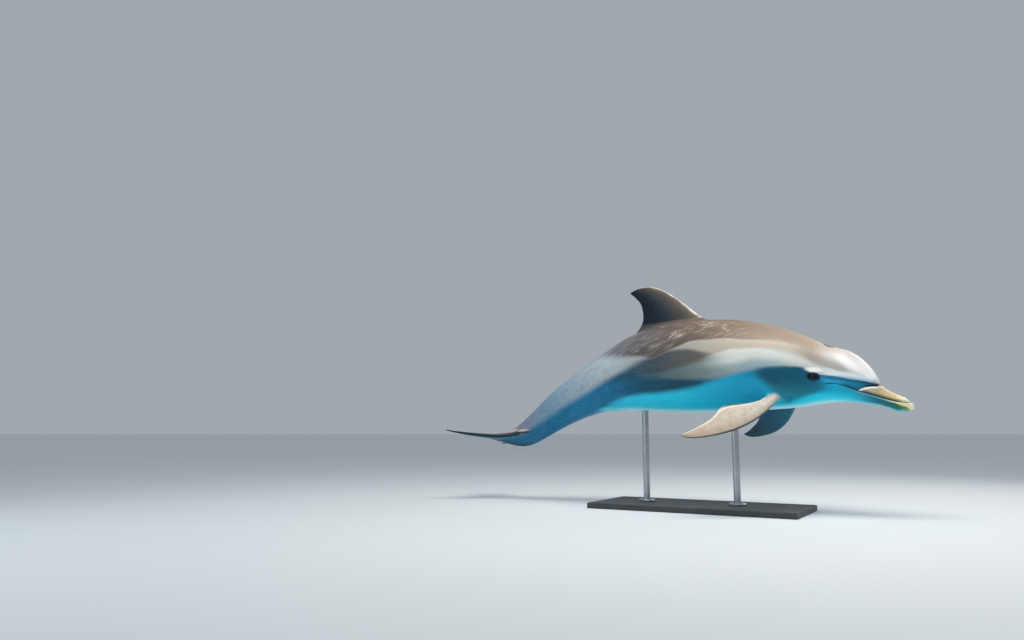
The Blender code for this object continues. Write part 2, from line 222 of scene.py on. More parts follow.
def path(points):
    pts = np.array(points, float)
    if pts.ndim == 1:
        pts = pts[:, None]
    n = len(pts)

    def f(t):
        u = np.clip(np.asarray(t, float), 0, 1) * (n - 1)
        i = np.minimum(u.astype(int), n - 2)
        u = (u - i)[..., None]
        p0, p1 = pts[np.maximum(i - 1, 0)], pts[i]
        p2, p3 = pts[i + 1], pts[np.minimum(i + 2, n - 1)]
        return 0.5 * (2 * p1 + (p2 - p0) * u + (2 * p0 - 5 * p1 + 4 * p2 - p3) * u * u
                      + (3 * p1 - p0 - 3 * p2 + p3) * u ** 3)
    return f


def foil(c):
    return (2.969 * np.sqrt(c) - 1.260 * c - 3.516 * c ** 2 + 2.843 * c ** 3 - 1.036 * c ** 4)


def unit(v):
    v = np.asarray(v, float)
    return v / np.linalg.norm(v)


def place_dorsal(u, v, w):
    return np.stack([u, w, v], -1)


def place_flipper(side):
    root_, span_, chord_ = (np.array(v, float) for v in FLIP_POSE[side])
    chord_ = unit(chord_)
    span_ = unit(unit(span_) - unit(span_).dot(chord_) * chord_)
    up_ = np.cross(span_, chord_)
    up_ = up_ if up_[2] > 0 else -up_

    def f(u, v, w):
        bow = 0.045 * (np.clip(u, 0, 1) / 0.55) ** 2      # the blade bows down a little
        p = (root_ + u[..., None] * span_ + v[..., None] * chord_
             + (w - 0.35 * bow)[..., None] * up_)
        return p * np.array([1.0, side, 1.0])
    return f


def place_fluke(side):
    def f(u, v, w):
        tilt, curl = FLUKE_FORM[side]
        z = (FLUKE_Z + tilt * v + curl * np.abs(v) ** 3
             + FLUKE_RISE * smooth((u + 1.32) / 0.24) * (1 - smooth(np.abs(v) / 0.14)))
        return twist(np.stack([u, side * v, z + w], -1))
    return f


class Fin:
    """A tapered blade; every point has a place round the edge, psi (0 at the
    leading edge, pi at the trailing edge), and along the span, t."""

    def __init__(self, place, lead, trail, thick, edge=0.0009):
        self.place, self.edge = place, edge
        self.lead, self.trail, self.thick = path(lead), path(trail), path(thick)

    def point(self, psi, t):
        psi, t = np.broadcast_arrays(np.asarray(psi, float), np.asarray(t, float))
        c = 0.5 - 0.5 * np.cos(psi)
        a, b, h = self.lead(t), self.trail(t), self.thick(t)[..., 0] / 2
        uv = a + (b - a) * c[..., None]
        k = np.maximum(h * foil(c), self.edge * smooth(c / 0.3))
        w = k * np.clip(np.sin(psi) / 0.02, -1, 1)
        return self.place(uv[..., 0], uv[..., 1], w)


# ------------------------------------------------------------ the base grid
K_LOW, K_UP = 16, 23          # columns below and above the mouth line, a side
M = 2 * (K_LOW + K_UP)


def ring_step(x):
    return float(np.interp(x, [-1.34, -1.30, -1.10, -0.66, -0.58, -0.45, -0.36, 0.00, 0.45, 0.56,
                               0.67, 0.73, 0.78, 0.88, 0.93, 0.98, 1.02, 1.045, 1.057],
                           [0.005, 0.010, 0.013, 0.015, 0.011, 0.013, 0.018, 0.018, 0.016, 0.0095,
                            0.0075, 0.0075, 0.0065, 0.0046, 0.0042, 0.0048, 0.0032, 0.0018,
                            0.0004]))


def ring_places():
    xs = [X_END]
    while xs[-1] < X_NOSE - 0.0004:
        xs.append(xs[-1] + 1.06 * ring_step(xs[-1]))
    xs = np.array(xs)
    return X_END + (xs - X_END) * (X_NOSE - X_END) / (xs[-1] - X_END)


def column_angles(x):
    """Angles of the columns on one side at slice x, belly to back. One
    column runs along the mouth line, with its neighbours drawn close."""
    a = np.linspace(-HALF_PI, HALF_PI, 361)
    p = section(x, a)
    s = np.concatenate([[0], np.cumsum(np.linalg.norm(np.diff(p, axis=0), axis=1))])
    on = float(smooth((x - 0.61) / 0.079))            # follows the mouth from its corner
    zm = float(mouth_z(max(x, 0.689)))
    zs = p[:, 2]
    z_top = float(back(x)) - 0.003
    target = min(zm, z_top)
    s_mouth = np.interp(target, zs, s)
    s_side = s[-1] * K_LOW / (K_LOW + K_UP)
    past = float(smooth((x - 1.018) / 0.022))         # lets go of the line at the tip
    s_mouth = s_mouth * (1 - past) + min(s_mouth, s[-1] * 0.55) * past
    s_cut = s_side * (1 - on) + s_mouth * on
    power = 1.0 + 0.55 * on * (1 - past)
    low = s_cut * (1 - (1 - np.linspace(0, 1, K_LOW + 1)) ** power)
    up = s_cut + (s[-1] - s_cut) * np.linspace(0, 1, K_UP + 1) ** power
    return np.interp(np.concatenate([low, up[1:]]), s, a)


XS = ring_places()
N = len(XS)
side_angles = np.array([column_angles(x) for x in XS])       # N by K+1
GX = np.repeat(XS[:, None], M, axis=1)
GA = np.concatenate([side_angles, math.pi - side_angles[:, -2:0:-1]], axis=1)


class Hole:
    """An oval opening in the grid: its centre, axes and roundness."""

    def __init__(self, x, a, ax, aw, metric, turn=0.0, power=2.0):
        self.x, self.a, self.ax, self.aw = x, a, ax, aw
        self.metric, self.c, self.s, self.power = metric, math.cos(turn), math.sin(turn), power

    def local(self, x, a):
        d = (a - self.a + math.pi) % (2 * math.pi) - math.pi
        u, v = x - self.x, d * self.metric
        return (u * self.c + v * self.s) / self.ax, (-u * self.s + v * self.c) / self.aw

    def world(self, p, q):
        u, v = p * self.ax, q * self.aw
        return (self.x + u * self.c - v * self.s,
                self.a + (u * self.s + v * self.c) / self.metric)

    def radius(self, x, a):
        p, q = self.local(x, a)
        return (np.abs(p) ** self.power + np.abs(q) ** self.power) ** (1 / self.power)


def foot(fin, psi, reach=0.0, t1=0.75):
    """Where each line along the fin leaves the body, as t."""
    t = np.linspace(0, t1, 400)
    out = []
    for f in np.atleast_1d(psi):
        d = outside(fin.point(np.full_like(t, f), t)) - reach
        inside = np.nonzero(d < 0)[0]
        if len(inside) == 0 or inside[-1] == len(t) - 1:
            out.append(t[0] if len(inside) == 0 else t[-1])
        else:
            i = inside[-1]
            out.append(t[i] + (t[i + 1] - t[i]) * d[i] / (d[i] - d[i + 1]))
    return np.array(out)


def angle_of(p):
    """The slice angle of a point near the body."""
    q = untwist(p)
    x = q[..., 0]
    zt, zb, w, n = back(x), belly(x), half(x), full(x)
    zm = zb + widest(x) * (zt - zb)
    h = np.where(q[..., 2] > zm, zt - zm, zm - zb)
    return np.arctan2((q[..., 2] - zm) / h, q[..., 1] / w)


class Attach:
    """How a fin joins the body: its hole, the height of its fillet."""

    def __init__(self, fin, hole, reach, rows, bridge=4):
        self.fin, self.hole, self.reach, self.rows, self.bridge = fin, hole, reach, rows, bridge


def flipper_hole(fin, side):
    psi = np.linspace(0, 2 * math.pi, 48, endpoint=False)
    p = fin.point(psi, foot(fin, psi))
    x, a = p[:, 0], angle_of(p)
    if side < 0:
        a = a % (2 * math.pi)
    xc, ac = x.mean(), a.mean()
    e = 1e-3
    metric = np.linalg.norm(section(xc, ac + e) - section(xc, ac - e)) / (2 * e)
    u, v = x - xc, (a - ac) * metric
    turn = 0.5 * math.atan2(2 * (u * v).sum(), (u * u - v * v).sum())
    if math.cos(turn) < 0:
        turn += math.pi
    c, s = math.cos(turn), math.sin(turn)
    pu, pv = u * c + v * s, -u * s + v * c
    cu, cv = (pu.max() + pu.min()) / 2, (pv.max() + pv.min()) / 2
    xc, ac = xc + cu * c - cv * s, ac + (cu * s + cv * c) / metric
    return Hole(xc, ac, np.ptp(pu) / 2 + 0.030, np.ptp(pv) / 2 + 0.024, metric, turn, 2.2)


dorsal = Fin(place_dorsal, FIN_LEAD, FIN_TRAIL, FIN_THICK)
flippers = {s: Fin(place_flipper(s), FLIP_LEAD, FLIP_TRAIL, FLIP_THICK) for s in (1, -1)}
flukes = {s: Fin(place_fluke(s), FLUKE_LEAD, FLUKE_TRAIL, FLUKE_THICK) for s in (1, -1)}

attach = [Attach(dorsal, Hole(-0.116, HALF_PI, 0.222, 0.052, 0.21, power=2.3), 0.020, 15)]
for s in (1, -1):
    attach.append(Attach(flippers[s], flipper_hole(flippers[s], s), 0.022, 24))
for s in (1, -1):
    attach.append(Attach(flukes[s], Hole(-1.186, 0.02 if s > 0 else math.pi - 0.02, 0.134,
                                         math.radians(50), 1.0, power=2.8), 0.013, 18))


def eye_angle():
    a = np.linspace(-1.2, 1.2, 2401)
    z = section(EYE_X, a)[:, 2]
    return float(np.interp(EYE_Z, z, a))


EYE_A = eye_angle()
_e = 1e-3
EYE_METRIC = float(np.linalg.norm(section(EYE_X, EYE_A + _e) - section(EYE_X, EYE_A - _e)) / (2 * _e))
EYE_PATCH = 0.036
eye_holes = {1: Hole(EYE_X, EYE_A, EYE_PATCH, EYE_PATCH, EYE_METRIC),
             -1: Hole(EYE_X, math.pi - EYE_A, EYE_PATCH, EYE_PATCH, EYE_METRIC)}


# ------------------------------------------------------------ the base mesh
class Builder:
    """Points, faces, unwrap; blade is (dorsal, flipper, fluke, span, chord, upper side)."""

    def __init__(self):
        self.co, self.faces, self.uvs, self.blade = [], [], [], []

    def add(self, points, blade=None):
        start = len(self.co)
        points = np.asarray(points, float).reshape(-1, 3)
        self.co.extend(points.tolist())
        if blade is None:
            blade = np.zeros((len(points), 6))
        self.blade.extend(np.asarray(blade, float).reshape(-1, 6).tolist())
        return np.arange(start, len(self.co))

    def face(self, idx, uv):
        self.faces.append([int(i) for i in idx])
        self.uvs.append([tuple(map(float, q)) for q in uv])


def ordered_loop(edges):
    """Chain directed edges into one closed loop of vertices."""
    nxt = dict(edges)
    start = min(nxt)
    loop = [start]
    while nxt[loop[-1]] != start:
        loop.append(nxt[loop[-1]])
        assert len(loop) <= len(nxt), "an opening isn't one loop"
    assert len(loop) == len(nxt), "an opening has a second loop"
    return loop


def cut_holes(holes):
    """Take the faces inside each oval out of the grid, snap the rim onto the
    oval and ease the rows round it. Returns the kept faces and the rims."""
    cx = 0.25 * (GX[:-1] + GX[1:] + np.roll(GX, -1, 1)[:-1] + np.roll(GX, -1, 1)[1:])
    step = (np.roll(GA, -1, 1) - GA) % (2 * math.pi)
    mid = GA + step / 2
    ca = 0.5 * (mid[:-1] + mid[1:])
    owner = np.full(cx.shape, -1)
    for n, h in enumerate(holes):
        owner[h.radius(cx, ca) < 1.0] = n
    rims, fixed = [], np.zeros(GX.shape, bool)
    rim_mask = np.zeros(GX.shape, bool)
    for n, h in enumerate(holes):
        edges = []
        ii, kk = np.nonzero(owner == n)
        here = set(zip(ii.tolist(), kk.tolist()))
        for i, k in here:
            k2 = (k + 1) % M
            for da, db, other in (((i, k), (i, k2), (i - 1, k)), ((i, k2), (i + 1, k2), (i, k2)),
                                  ((i + 1, k2), (i + 1, k), (i + 1, k)),
                                  ((i + 1, k), (i, k), (i, (k - 1) % M))):
                if other not in here:
                    edges.append((da, db))
        loop = ordered_loop([((a[0] * M + a[1]), (b[0] * M + b[1])) for a, b in edges])
        rims.append(loop)
        for v in loop:
            i, k = divmod(v, M)
            rim_mask[i, k] = fixed[i, k] = True
            p, q = h.local(GX[i, k], GA[i, k])
            r = (abs(p) ** h.power + abs(q) ** h.power) ** (1 / h.power)
            GX[i, k], GA[i, k] = h.world(p / r, q / r)
    # Ease the neighbours, so that the rows flow round each opening
    near = np.zeros(GX.shape, bool)
    for n, h in enumerate(holes):
        grow = 1 + 3.2 * np.array([0.018 / max(h.ax, 0.03), 0]).max()
        near |= h.radius(GX, GA) < grow
    near &= ~rim_mask
    near[:2] = near[-2:] = False
    gone = np.zeros(GX.shape, bool)
    for i in range(1, N - 1):
        for k in range(M):
            q = [owner[i - 1, k - 1], owner[i - 1, k], owner[i, k - 1], owner[i, k]]
            gone[i, k] = all(v >= 0 for v in q)
    near &= ~gone
    ii, kk = np.nonzero(near)
    for _ in range(14):
        nx, na = GX.copy(), GA.copy()
        for i, k in zip(ii, kk):
            sx = sa = w = 0.0
            for j, l in ((i - 1, k), (i + 1, k), (i, (k - 1) % M), (i, (k + 1) % M)):
                if gone[j, l]:
                    continue
                d = (GA[j, l] - GA[i, k] + math.pi) % (2 * math.pi) - math.pi
                sx, sa, w = sx + GX[j, l] - GX[i, k], sa + d, w + 1
            nx[i, k] += 0.5 * sx / w
            na[i, k] += 0.5 * sa / w
        GX[:], GA[:] = nx, na
    return owner, rims, gone


mesh = Builder()
blow_hole = Hole(BLOW_X, HALF_PI, 0.030, 0.042, float(half(BLOW_X)) * 0.98)
vent_hole = Hole(-0.452, -HALF_PI, 0.075, 0.034, float(half(-0.452)) * 0.98)
anus_hole = Hole(-0.585, -HALF_PI, 0.034, 0.026, float(half(-0.585)) * 0.98)
HOLES = [a.hole for a in attach] + [eye_holes[1], eye_holes[-1], blow_hole, vent_hole, anus_hole]
owner, rims, gone = cut_holes(HOLES)
P = surface(GX, GA)
body_ids = np.full(GX.shape, -1)
for i in range(N):
    for k in range(M):
        if not gone[i, k]:
            body_ids[i, k] = mesh.add(P[i, k])[0]

# The unwrap: the trunk as one long patch, opened along the belly
girth = np.linalg.norm(np.diff(P, axis=1, append=P[:, :1]), axis=2)
ARC = np.concatenate([np.zeros((N, 1)), np.cumsum(girth, axis=1)], axis=1)
LEN = 2.46
for i in range(N - 1):
    for k in range(M):
        if owner[i, k] >= 0:
            continue
        k2 = (k + 1) % M
        uv = [((GX[r, c % M] - X_END) / LEN + 0.01,
               0.30 + (ARC[r, c] - ARC[r, -1] / 2) / LEN)
              for r, c in ((i, k), (i, k + 1), (i + 1, k + 1), (i + 1, k))]
        mesh.face([body_ids[i, k], body_ids[i, k2], body_ids[i + 1, k2], body_ids[i + 1, k]], uv)
for row, flip in ((0, True), (N - 1, False)):
    c = mesh.add(surface(GX[row], GA[row]).mean(axis=0) + np.array([0.0010 * (1 if row else -1), 0, 0]))[0]
    for k in range(M):
        k2 = (k + 1) % M
        f = [body_ids[row, k], body_ids[row, k2], c]
        u = (GX[row, 0] - X_END) / LEN + 0.01
        mesh.face(f[::-1] if flip else f, [(u, 0.30), (u, 0.301), (u, 0.3005)])


def join_fin(part, rim, patch, kind):
    """Run rows of faces from an opening's rim, through a fillet, to a fin's tip."""
    u0, v0, du, dv = patch
    hole, fin = part.hole, part.fin
    ids = np.array([body_ids[divmod(v, M)] for v in rim])
    gx = np.array([GX[divmod(v, M)] for v in rim])
    ga = np.array([GA[divmod(v, M)] for v in rim])
    B = surface(gx, ga)
    n = len(rim)
    # Match the rim to the fin's edge by length, from four anchors
    lead_foot = fin.point(0.0, foot(fin, [0.0])[0])
    trail_foot = fin.point(math.pi, foot(fin, [math.pi])[0])
    axis = unit(lead_foot - trail_foot)
    along = (B - trail_foot) @ axis
    step = np.linalg.norm(np.roll(B, -1, 0) - B, axis=1)
    s = np.concatenate([[0], np.cumsum(step)])
    total = s[-1]
    i_lead, i_trail = int(np.argmax(along)), int(np.argmin(along))
    mid_a = fin.point(HALF_PI, foot(fin, [HALF_PI])[0])
    i_plus = int(np.argmin(np.linalg.norm(B - mid_a, axis=1)))
    # which way round the loop runs
    fwd = ((i_plus - i_lead) % n) < ((i_trail - i_lead) % n)
    order = [(i_lead + (j if fwd else -j)) % n for j in range(n)]
    arc = np.array([((s[o] - s[i_lead]) if fwd else (s[i_lead] - s[o])) % total for o in order])
    at_trail = arc[order.index(i_trail)]
    psi = np.where(arc <= at_trail, math.pi * arc / at_trail,
                   math.pi + math.pi * (arc - at_trail) / (total - at_trail))
    # the leading and trailing edges are drawn out: the rim's even spacing
    # suits the foil's cosine spacing as it stands
    t_foot = foot(fin, psi)
    X = fin.point(psi, t_foot)
    t_start = np.maximum(foot(fin, psi, part.reach), t_foot + 0.004)
    F = fin.point(psi, t_start)
    Bo = B[order]
    e = 1e-4
    gxo, gao = gx[order], ga[order]
    nrm = np.cross(surface(gxo, gao + e) - surface(gxo, gao - e),
                   surface(gxo + e, gao) - surface(gxo - e, gao))
    nrm /= np.linalg.norm(nrm, axis=1)[:, None]
    pull = X - Bo
    flat = pull - (pull * nrm).sum(1)[:, None] * nrm
    c1 = Bo + 0.62 * flat
    c2 = F + 0.62 * (X - F)
    rows = [ids[order]]
    pts = [Bo]

    def tag(w, t):
        code = np.zeros((n, 3))
        code[:, kind] = w
        return np.column_stack([code, np.broadcast_to(t, (n,)) * 1.0,
                                0.5 - 0.5 * np.cos(psi), np.sin(psi)])

    for r in range(1, part.bridge):
        q = r / part.bridge
        pts.append((1 - q) ** 3 * Bo + 3 * (1 - q) ** 2 * q * c1 + 3 * (1 - q) * q * q * c2 + q ** 3 * F)
        rows.append(mesh.add(pts[-1], tag(q * 0.9, q * t_start * 0.9)))
    for r in range(part.rows + 1):
        q = r / part.rows
        q = 1 - (1 - q) ** 1.18
        pts.append(fin.point(psi, t_start + (1 - t_start) * q))
        rows.append(mesh.add(pts[-1], tag(1.0, t_start + (1 - t_start) * q)))
    tip = mesh.add(pts[-1].mean(axis=0), tag(1.0, 1.0).mean(axis=0))[0]
    # faces; the side that keeps them facing out is found from the first one
    mid = pts[len(pts) // 2].mean(axis=0)
    a, b, c = pts[-4][1], pts[-4][2], pts[-3][1]
    out = np.cross(b - a, c - a) @ (a - pts[-4].mean(axis=0)) > 0
    total_rows = len(rows)
    for r in range(total_rows - 1):
        for j in range(n):
            j2 = (j + 1) % n
            f = [rows[r][j], rows[r][j2], rows[r + 1][j2], rows[r + 1][j]]
            uv = [(u0 + du * jj / n, v0 + dv * rr / total_rows)
                  for jj, rr in ((j, r), (j + 1, r), (j + 1, r + 1), (j, r + 1))]
            if not out:
                f, uv = f[::-1], uv[::-1]
            mesh.face(f, uv)
    for j in range(n):
        j2 = (j + 1) % n
        f = [rows[-1][j], rows[-1][j2], tip]
        uv = [(u0 + du * j / n, v0 + dv * (total_rows - 1) / total_rows),
              (u0 + du * (j + 1) / n, v0 + dv * (total_rows - 1) / total_rows),
              (u0 + du * (j + 0.5) / n, v0 + dv)]
        if not out:
            f, uv = f[::-1], uv[::-1]
        mesh.face(f, uv)


PATCHES = [(0.01, 0.63, 0.19, 0.17), (0.22, 0.63, 0.18, 0.30), (0.42, 0.63, 0.18, 0.30),
           (0.62, 0.63, 0.17, 0.22), (0.81, 0.63, 0.17, 0.22)]
for part, rim, patch, kind in zip(attach, rims, PATCHES, (0, 1, 1, 2, 2)):
    join_fin(part, rim, patch, kind)


# Openings that close on a lid or a slit, in rings of faces
def patch_ids(rim):
    return np.array([body_ids[divmod(v, M)] for v in rim])


def add_ring_faces(rows, uvs, out):
    n = len(rows[0])
    for r in range(len(rows) - 1):
        for j in range(n):
            j2 = (j + 1) % n
            f = [rows[r][j], rows[r][j2], rows[r + 1][j2], rows[r + 1][j]]
            uv = [uvs[r][j], uvs[r][j2], uvs[r + 1][j2], uvs[r + 1][j]]
            if not out:
                f, uv = f[::-1], uv[::-1]
            mesh.face(f, uv)


BALL_Y = float(section(EYE_X, EYE_A)[1]) - (EYE_R - 0.0075)
LID_LONG, LID_UP, LID_DOWN = 0.0148, 0.0092, 0.0086
LID_SLOPE = math.radians(-8)        # the eye's long axis tips down toward the snout


def lid_shape(phi):
    """The almond between the lids, round the eye's centre: along, up."""
    c, s_ = np.cos(phi), np.sin(phi)
    up = np.where(s_ > 0, LID_UP, LID_DOWN)
    u = LID_LONG * c
    v = up * np.sign(s_) * np.abs(s_) ** 1.15
    cs, sn = math.cos(LID_SLOPE), math.sin(LID_SLOPE)
    return u * cs - v * sn, u * sn + v * cs


def flank(x, z):
    """Half breadth of the untwisted body at x and height z."""
    zt, zb, w, n = back(x), belly(x), half(x), full(x)
    zm = zb + widest(x) * (zt - zb)
    h = np.where(z > zm, zt - zm, zm - zb)
    return w * np.maximum(1 - (np.abs(z - zm) / h) ** n, 0) ** (1 / n)


def eye_rings(side, rim, centre_uv):
    ids = patch_ids(rim)
    at = np.array([mesh.co[i] for i in ids])
    cx_, cz_ = EYE_X, EYE_Z
    phi = np.arctan2(at[:, 2] - cz_, at[:, 0] - cx_)
    lx, ly = lid_shape(phi)
    rows = [ids]
    uvs = [[(centre_uv[0] + 0.024 * math.cos(f), centre_uv[1] + 0.024 * math.sin(f)) for f in phi]]
    # how far the lid's edge must stand out to clear the ball
    ball = BALL_Y + np.sqrt(EYE_R ** 2 - lx ** 2 - ly ** 2) + 0.0010
    need = np.maximum(ball - flank(cx_ + lx, cz_ + ly), 0.0006)
    # share of the way from the rim to the lid, and the lid's rise at that ring
    for share, rise in ((0.16, 0.00), (0.32, 0.03), (0.46, 0.10), (0.58, 0.22), (0.68, 0.38),
                        (0.77, 0.58), (0.845, 0.78), (0.905, 0.92), (0.955, 1.00), (1.00, 1.00)):
        w = share ** 0.92
        xx = at[:, 0] * (1 - w) + (cx_ + lx) * w
        zz = at[:, 2] * (1 - w) + (cz_ + ly) * w
        rows.append(mesh.add(np.stack([xx, side * (flank(xx, zz) + need * rise), zz], 1)))
        k = 0.024 * (1 - share) + 0.006 * share
        uvs.append([(centre_uv[0] + k * math.cos(f), centre_uv[1] + k * math.sin(f)) for f in phi])
    # the lids' edges roll in and hug the ball
    edge = np.array([mesh.co[i] for i in rows[-1]])
    centre = np.array([cx_, side * BALL_Y, cz_])
    for depth, inward in ((0.0009, 0.985), (0.0022, 0.985), (0.0055, 1.0), (0.0090, 1.01)):
        pts = edge.copy()
        pts[:, 0] = cx_ + (edge[:, 0] - cx_) * inward
        pts[:, 2] = cz_ + (edge[:, 2] - cz_) * inward
        pts[:, 1] -= side * depth
        away = pts - centre
        dist = np.linalg.norm(away, axis=1)
        low = dist < EYE_R + 0.0004
        pts[low] = centre + away[low] / dist[low][:, None] * (EYE_R + 0.0004)
        rows.append(mesh.add(pts))
        k = 0.006 - 0.3 * depth
        uvs.append([(centre_uv[0] + k * math.cos(f), centre_uv[1] + k * math.sin(f)) for f in phi])
    a_, b_, c_ = (np.array(mesh.co[rows[k][j]]) for k, j in ((2, 0), (2, 1), (3, 0)))
    out = np.cross(b_ - a_, c_ - a_)[1] * side > 0
    add_ring_faces(rows, uvs, out)


for side, rim, cuv in ((1, rims[5], (0.06, 0.90)), (-1, rims[6], (0.13, 0.90))):
    eye_rings(side, rim, cuv)


def slit_rings(hole, rim, centre_uv, half_long, half_wide, bend, across, depth, lip, lip_front=0.0):
    """A slit that closes: rings draw in from the opening to its two lips,
    then turn down into it. across: the slit lies across the body."""
    gx = np.array([GX[divmod(v, M)] for v in rim])
    ga = np.array([GA[divmod(v, M)] for v in rim])
    p, q = hole.local(gx, ga)
    phi = np.arctan2(q, p)
    n = len(rim)
    c, s_ = np.cos(phi), np.sin(phi)
    if across:
        v = half_long * s_
        u = half_wide * c + bend * (v / half_long) ** 2
    else:
        u = half_long * c
        v = half_wide * s_ + bend * (u / half_long) ** 2
    rows = [patch_ids(rim)]
    uvs = [[(centre_uv[0] + 0.024 * math.cos(f), centre_uv[1] + 0.024 * math.sin(f)) for f in phi]]
    e = 1e-4

    def at(uu, vv):
        xx, aa = hole.x + uu, hole.a + vv / hole.metric
        pt = surface(xx, aa)
        nn = np.cross(surface(xx, aa + e) - surface(xx, aa - e), surface(xx + e, aa) - surface(xx - e, aa))
        return pt, nn / np.linalg.norm(nn, axis=1)[:, None]

    pu, pv = p * hole.ax, q * hole.aw
    for share, rise in ((0.22, 0.0), (0.42, 0.08), (0.58, 0.25), (0.72, 0.55), (0.83, 0.85),
                        (0.92, 1.0), (1.0, 0.75)):
        uu, vv = pu * (1 - share) + u * share, pv * (1 - share) + v * share
        pt, nn = at(uu, vv)
        front = lip_front * np.clip(c if across else 0 * c, 0, 1)
        rows.append(mesh.add(pt + nn * ((lip + front) * rise)[:, None]))
        k = 0.024 * (1 - share) + 0.004 * share
        uvs.append([(centre_uv[0] + k * math.cos(f), centre_uv[1] + k * math.sin(f)) for f in phi])
    for d, k in ((0.25, 0.62), (1.0, 0.30)):
        # the walls of the slit draw together below
        if across:
            uu, vv = bend * (v * 0.97 / half_long) ** 2 + half_wide * k * c, v * (1 - 0.05 * d)
        else:
            uu, vv = u * (1 - 0.05 * d), bend * (u / half_long) ** 2 + half_wide * k * s_
        pt, nn = at(uu, vv)
        rows.append(mesh.add(pt - nn * depth * d * (0.35 + 0.65 * np.abs(c if across else s_)[:, None] ** 0.5)))
        uvs.append([(centre_uv[0] + 0.003 * k * math.cos(f), centre_uv[1] + 0.003 * k * math.sin(f)) for f in phi])
    bottom = mesh.add(np.array([mesh.co[i] for i in rows[-1]]).mean(axis=0) - nn.mean(axis=0) * 0.0002)[0]
    a_, b_, c_ = (np.array(mesh.co[rows[k][j]]) for k, j in ((1, 0), (1, 1), (2, 0)))
    out = np.cross(b_ - a_, c_ - a_) @ nn[0] > 0
    add_ring_faces(rows, uvs, out)
    last = rows[-1]
    for j in range(n):
        j2 = (j + 1) % n
        f = [last[j], last[j2], bottom]
        uv = [(centre_uv[0], centre_uv[1])] * 3
        mesh.face(f if out else f[::-1], uv)


slit_rings(blow_hole, rims[7], (0.20, 0.90), 0.0225, 0.0015, 0.0075, True, 0.008, -0.0012, 0.0056)
slit_rings(vent_hole, rims[8], (0.27, 0.90), 0.046, 0.0011, 0.0, False, 0.006, 0.0016)
slit_rings(anus_hole, rims[9], (0.34, 0.90), 0.008, 0.0012, 0.0, False, 0.005, 0.0008)


def to_object(name, co, faces, uvs=None, blade=None):
    me = bpy.data.meshes.new(name)
    me.from_pydata([tuple(c) for c in co], [], faces)
    if uvs:
        layer = me.uv_layers.new(name="OFBake")
        layer.data.foreach_set("uv", np.array([q for f in uvs for q in f], np.float32).ravel())
    if blade is not None:
        for k, tag in enumerate(("dorsal", "flipper", "fluke", "span", "chord", "upper")):
            at = me.attributes.new(tag, 'FLOAT', 'POINT')
            at.data.foreach_set("value", np.ascontiguousarray(np.array(blade)[:, k], np.float32))
    me.update()
    ob = bpy.data.objects.new(name, me)
    scene.collection.objects.link(ob)
    return ob


def apply_modifiers(ob):
    dg = bpy.context.evaluated_depsgraph_get()
    me = bpy.data.meshes.new_from_object(ob.evaluated_get(dg), preserve_all_data_layers=True,
                                         depsgraph=dg)
    old = ob.data
    ob.modifiers.clear()
    ob.data = me
    bpy.data.meshes.remove(old)
    return ob


skin = to_object("dolphin_skin", mesh.co, mesh.faces, mesh.uvs, mesh.blade)
sub = skin.modifiers.new("subdivide", 'SUBSURF')
sub.levels = sub.render_levels = 1
sub.uv_smooth = 'PRESERVE_BOUNDARIES'
apply_modifiers(skin)
skin.data.shade_smooth()


# ------------------------------------------------------------ folds and form
def read(me, what, width):
    a = np.empty(len(me.vertices) * width, np.float32)
    if what == "co":
        me.vertices.foreach_get("co", a)
    elif what == "normal":
        me.vertex_normals.foreach_get("vector", a)
    else:
        me.attributes[what].data.foreach_get("value", a)
    return a.astype(float).reshape(-1, width) if width > 1 else a.astype(float)


def bump(d, w):
    return np.exp(-(d / w) ** 2)


def near_line(p, line):
    """Distance to a polyline, where along it (0..1), for many points."""
    best = np.full(len(p), 1e9)
    where = np.zeros(len(p))
    seg = np.linalg.norm(np.diff(line, axis=0), axis=1)
    s_ = np.concatenate([[0], np.cumsum(seg)]) / seg.sum()
    for i in range(len(line) - 1):
        a, b = line[i], line[i + 1]
        ab = b - a
        t = np.clip(((p - a) @ ab) / (ab @ ab), 0, 1)
        d = np.linalg.norm(p - a - t[:, None] * ab, axis=1)
        m = d < best
        best[m], where[m] = d[m], (s_[i] + (s_[i + 1] - s_[i]) * t)[m]
    return best, where


co = read(skin.data, "co", 3)
nrm = read(skin.data, "normal", 3)
blades = sum(read(skin.data, k, 1) for k in ("dorsal", "flipper", "fluke"))
rest = untwist(co)
X, Y, Z = rest.T
AY = np.abs(Y)
tall = np.sqrt(np.clip(1 - nrm[:, 2] ** 2, 0.05, 1))
move = np.zeros(len(co))
on_body = blades < 0.01

# the mouth: a groove from its corner round the front of the upper jaw
zm_ = np.where(X > 0.689, mouth_z(np.clip(X, 0.689, 1.1)), MOUTH[0, 1])
back_of = np.clip(0.689 - X, 0, 1)
d_mouth = (Z - zm_) / tall
d_mouth = np.sign(d_mouth) * np.hypot(d_mouth, back_of)
mouth_on = smooth((X - 0.683) / 0.050) * (X > 0.6) * on_body
mouth_deep = mouth_on * (0.0030 + 0.0022 * smooth((X - 0.80) / 0.12))
d_up, d_low = np.maximum(d_mouth, 0), np.minimum(d_mouth, 0)
tuck = 0.0032 + 0.0045 * smooth((X - 0.82) / 0.08)
move += -mouth_deep * np.where(d_mouth > 0, 0.45 * bump(d_up, tuck) + 0.55 * bump(d_up, 0.0018),
                               bump(d_low, 0.0018))
move += mouth_on * (0.0009 + 0.0010 * smooth((X - 0.82) / 0.06)) * bump(d_mouth + 0.0052, 0.0036)
move += mouth_on * 0.0007 * bump(d_mouth - 0.013, 0.006) * smooth((X - 0.84) / 0.04)

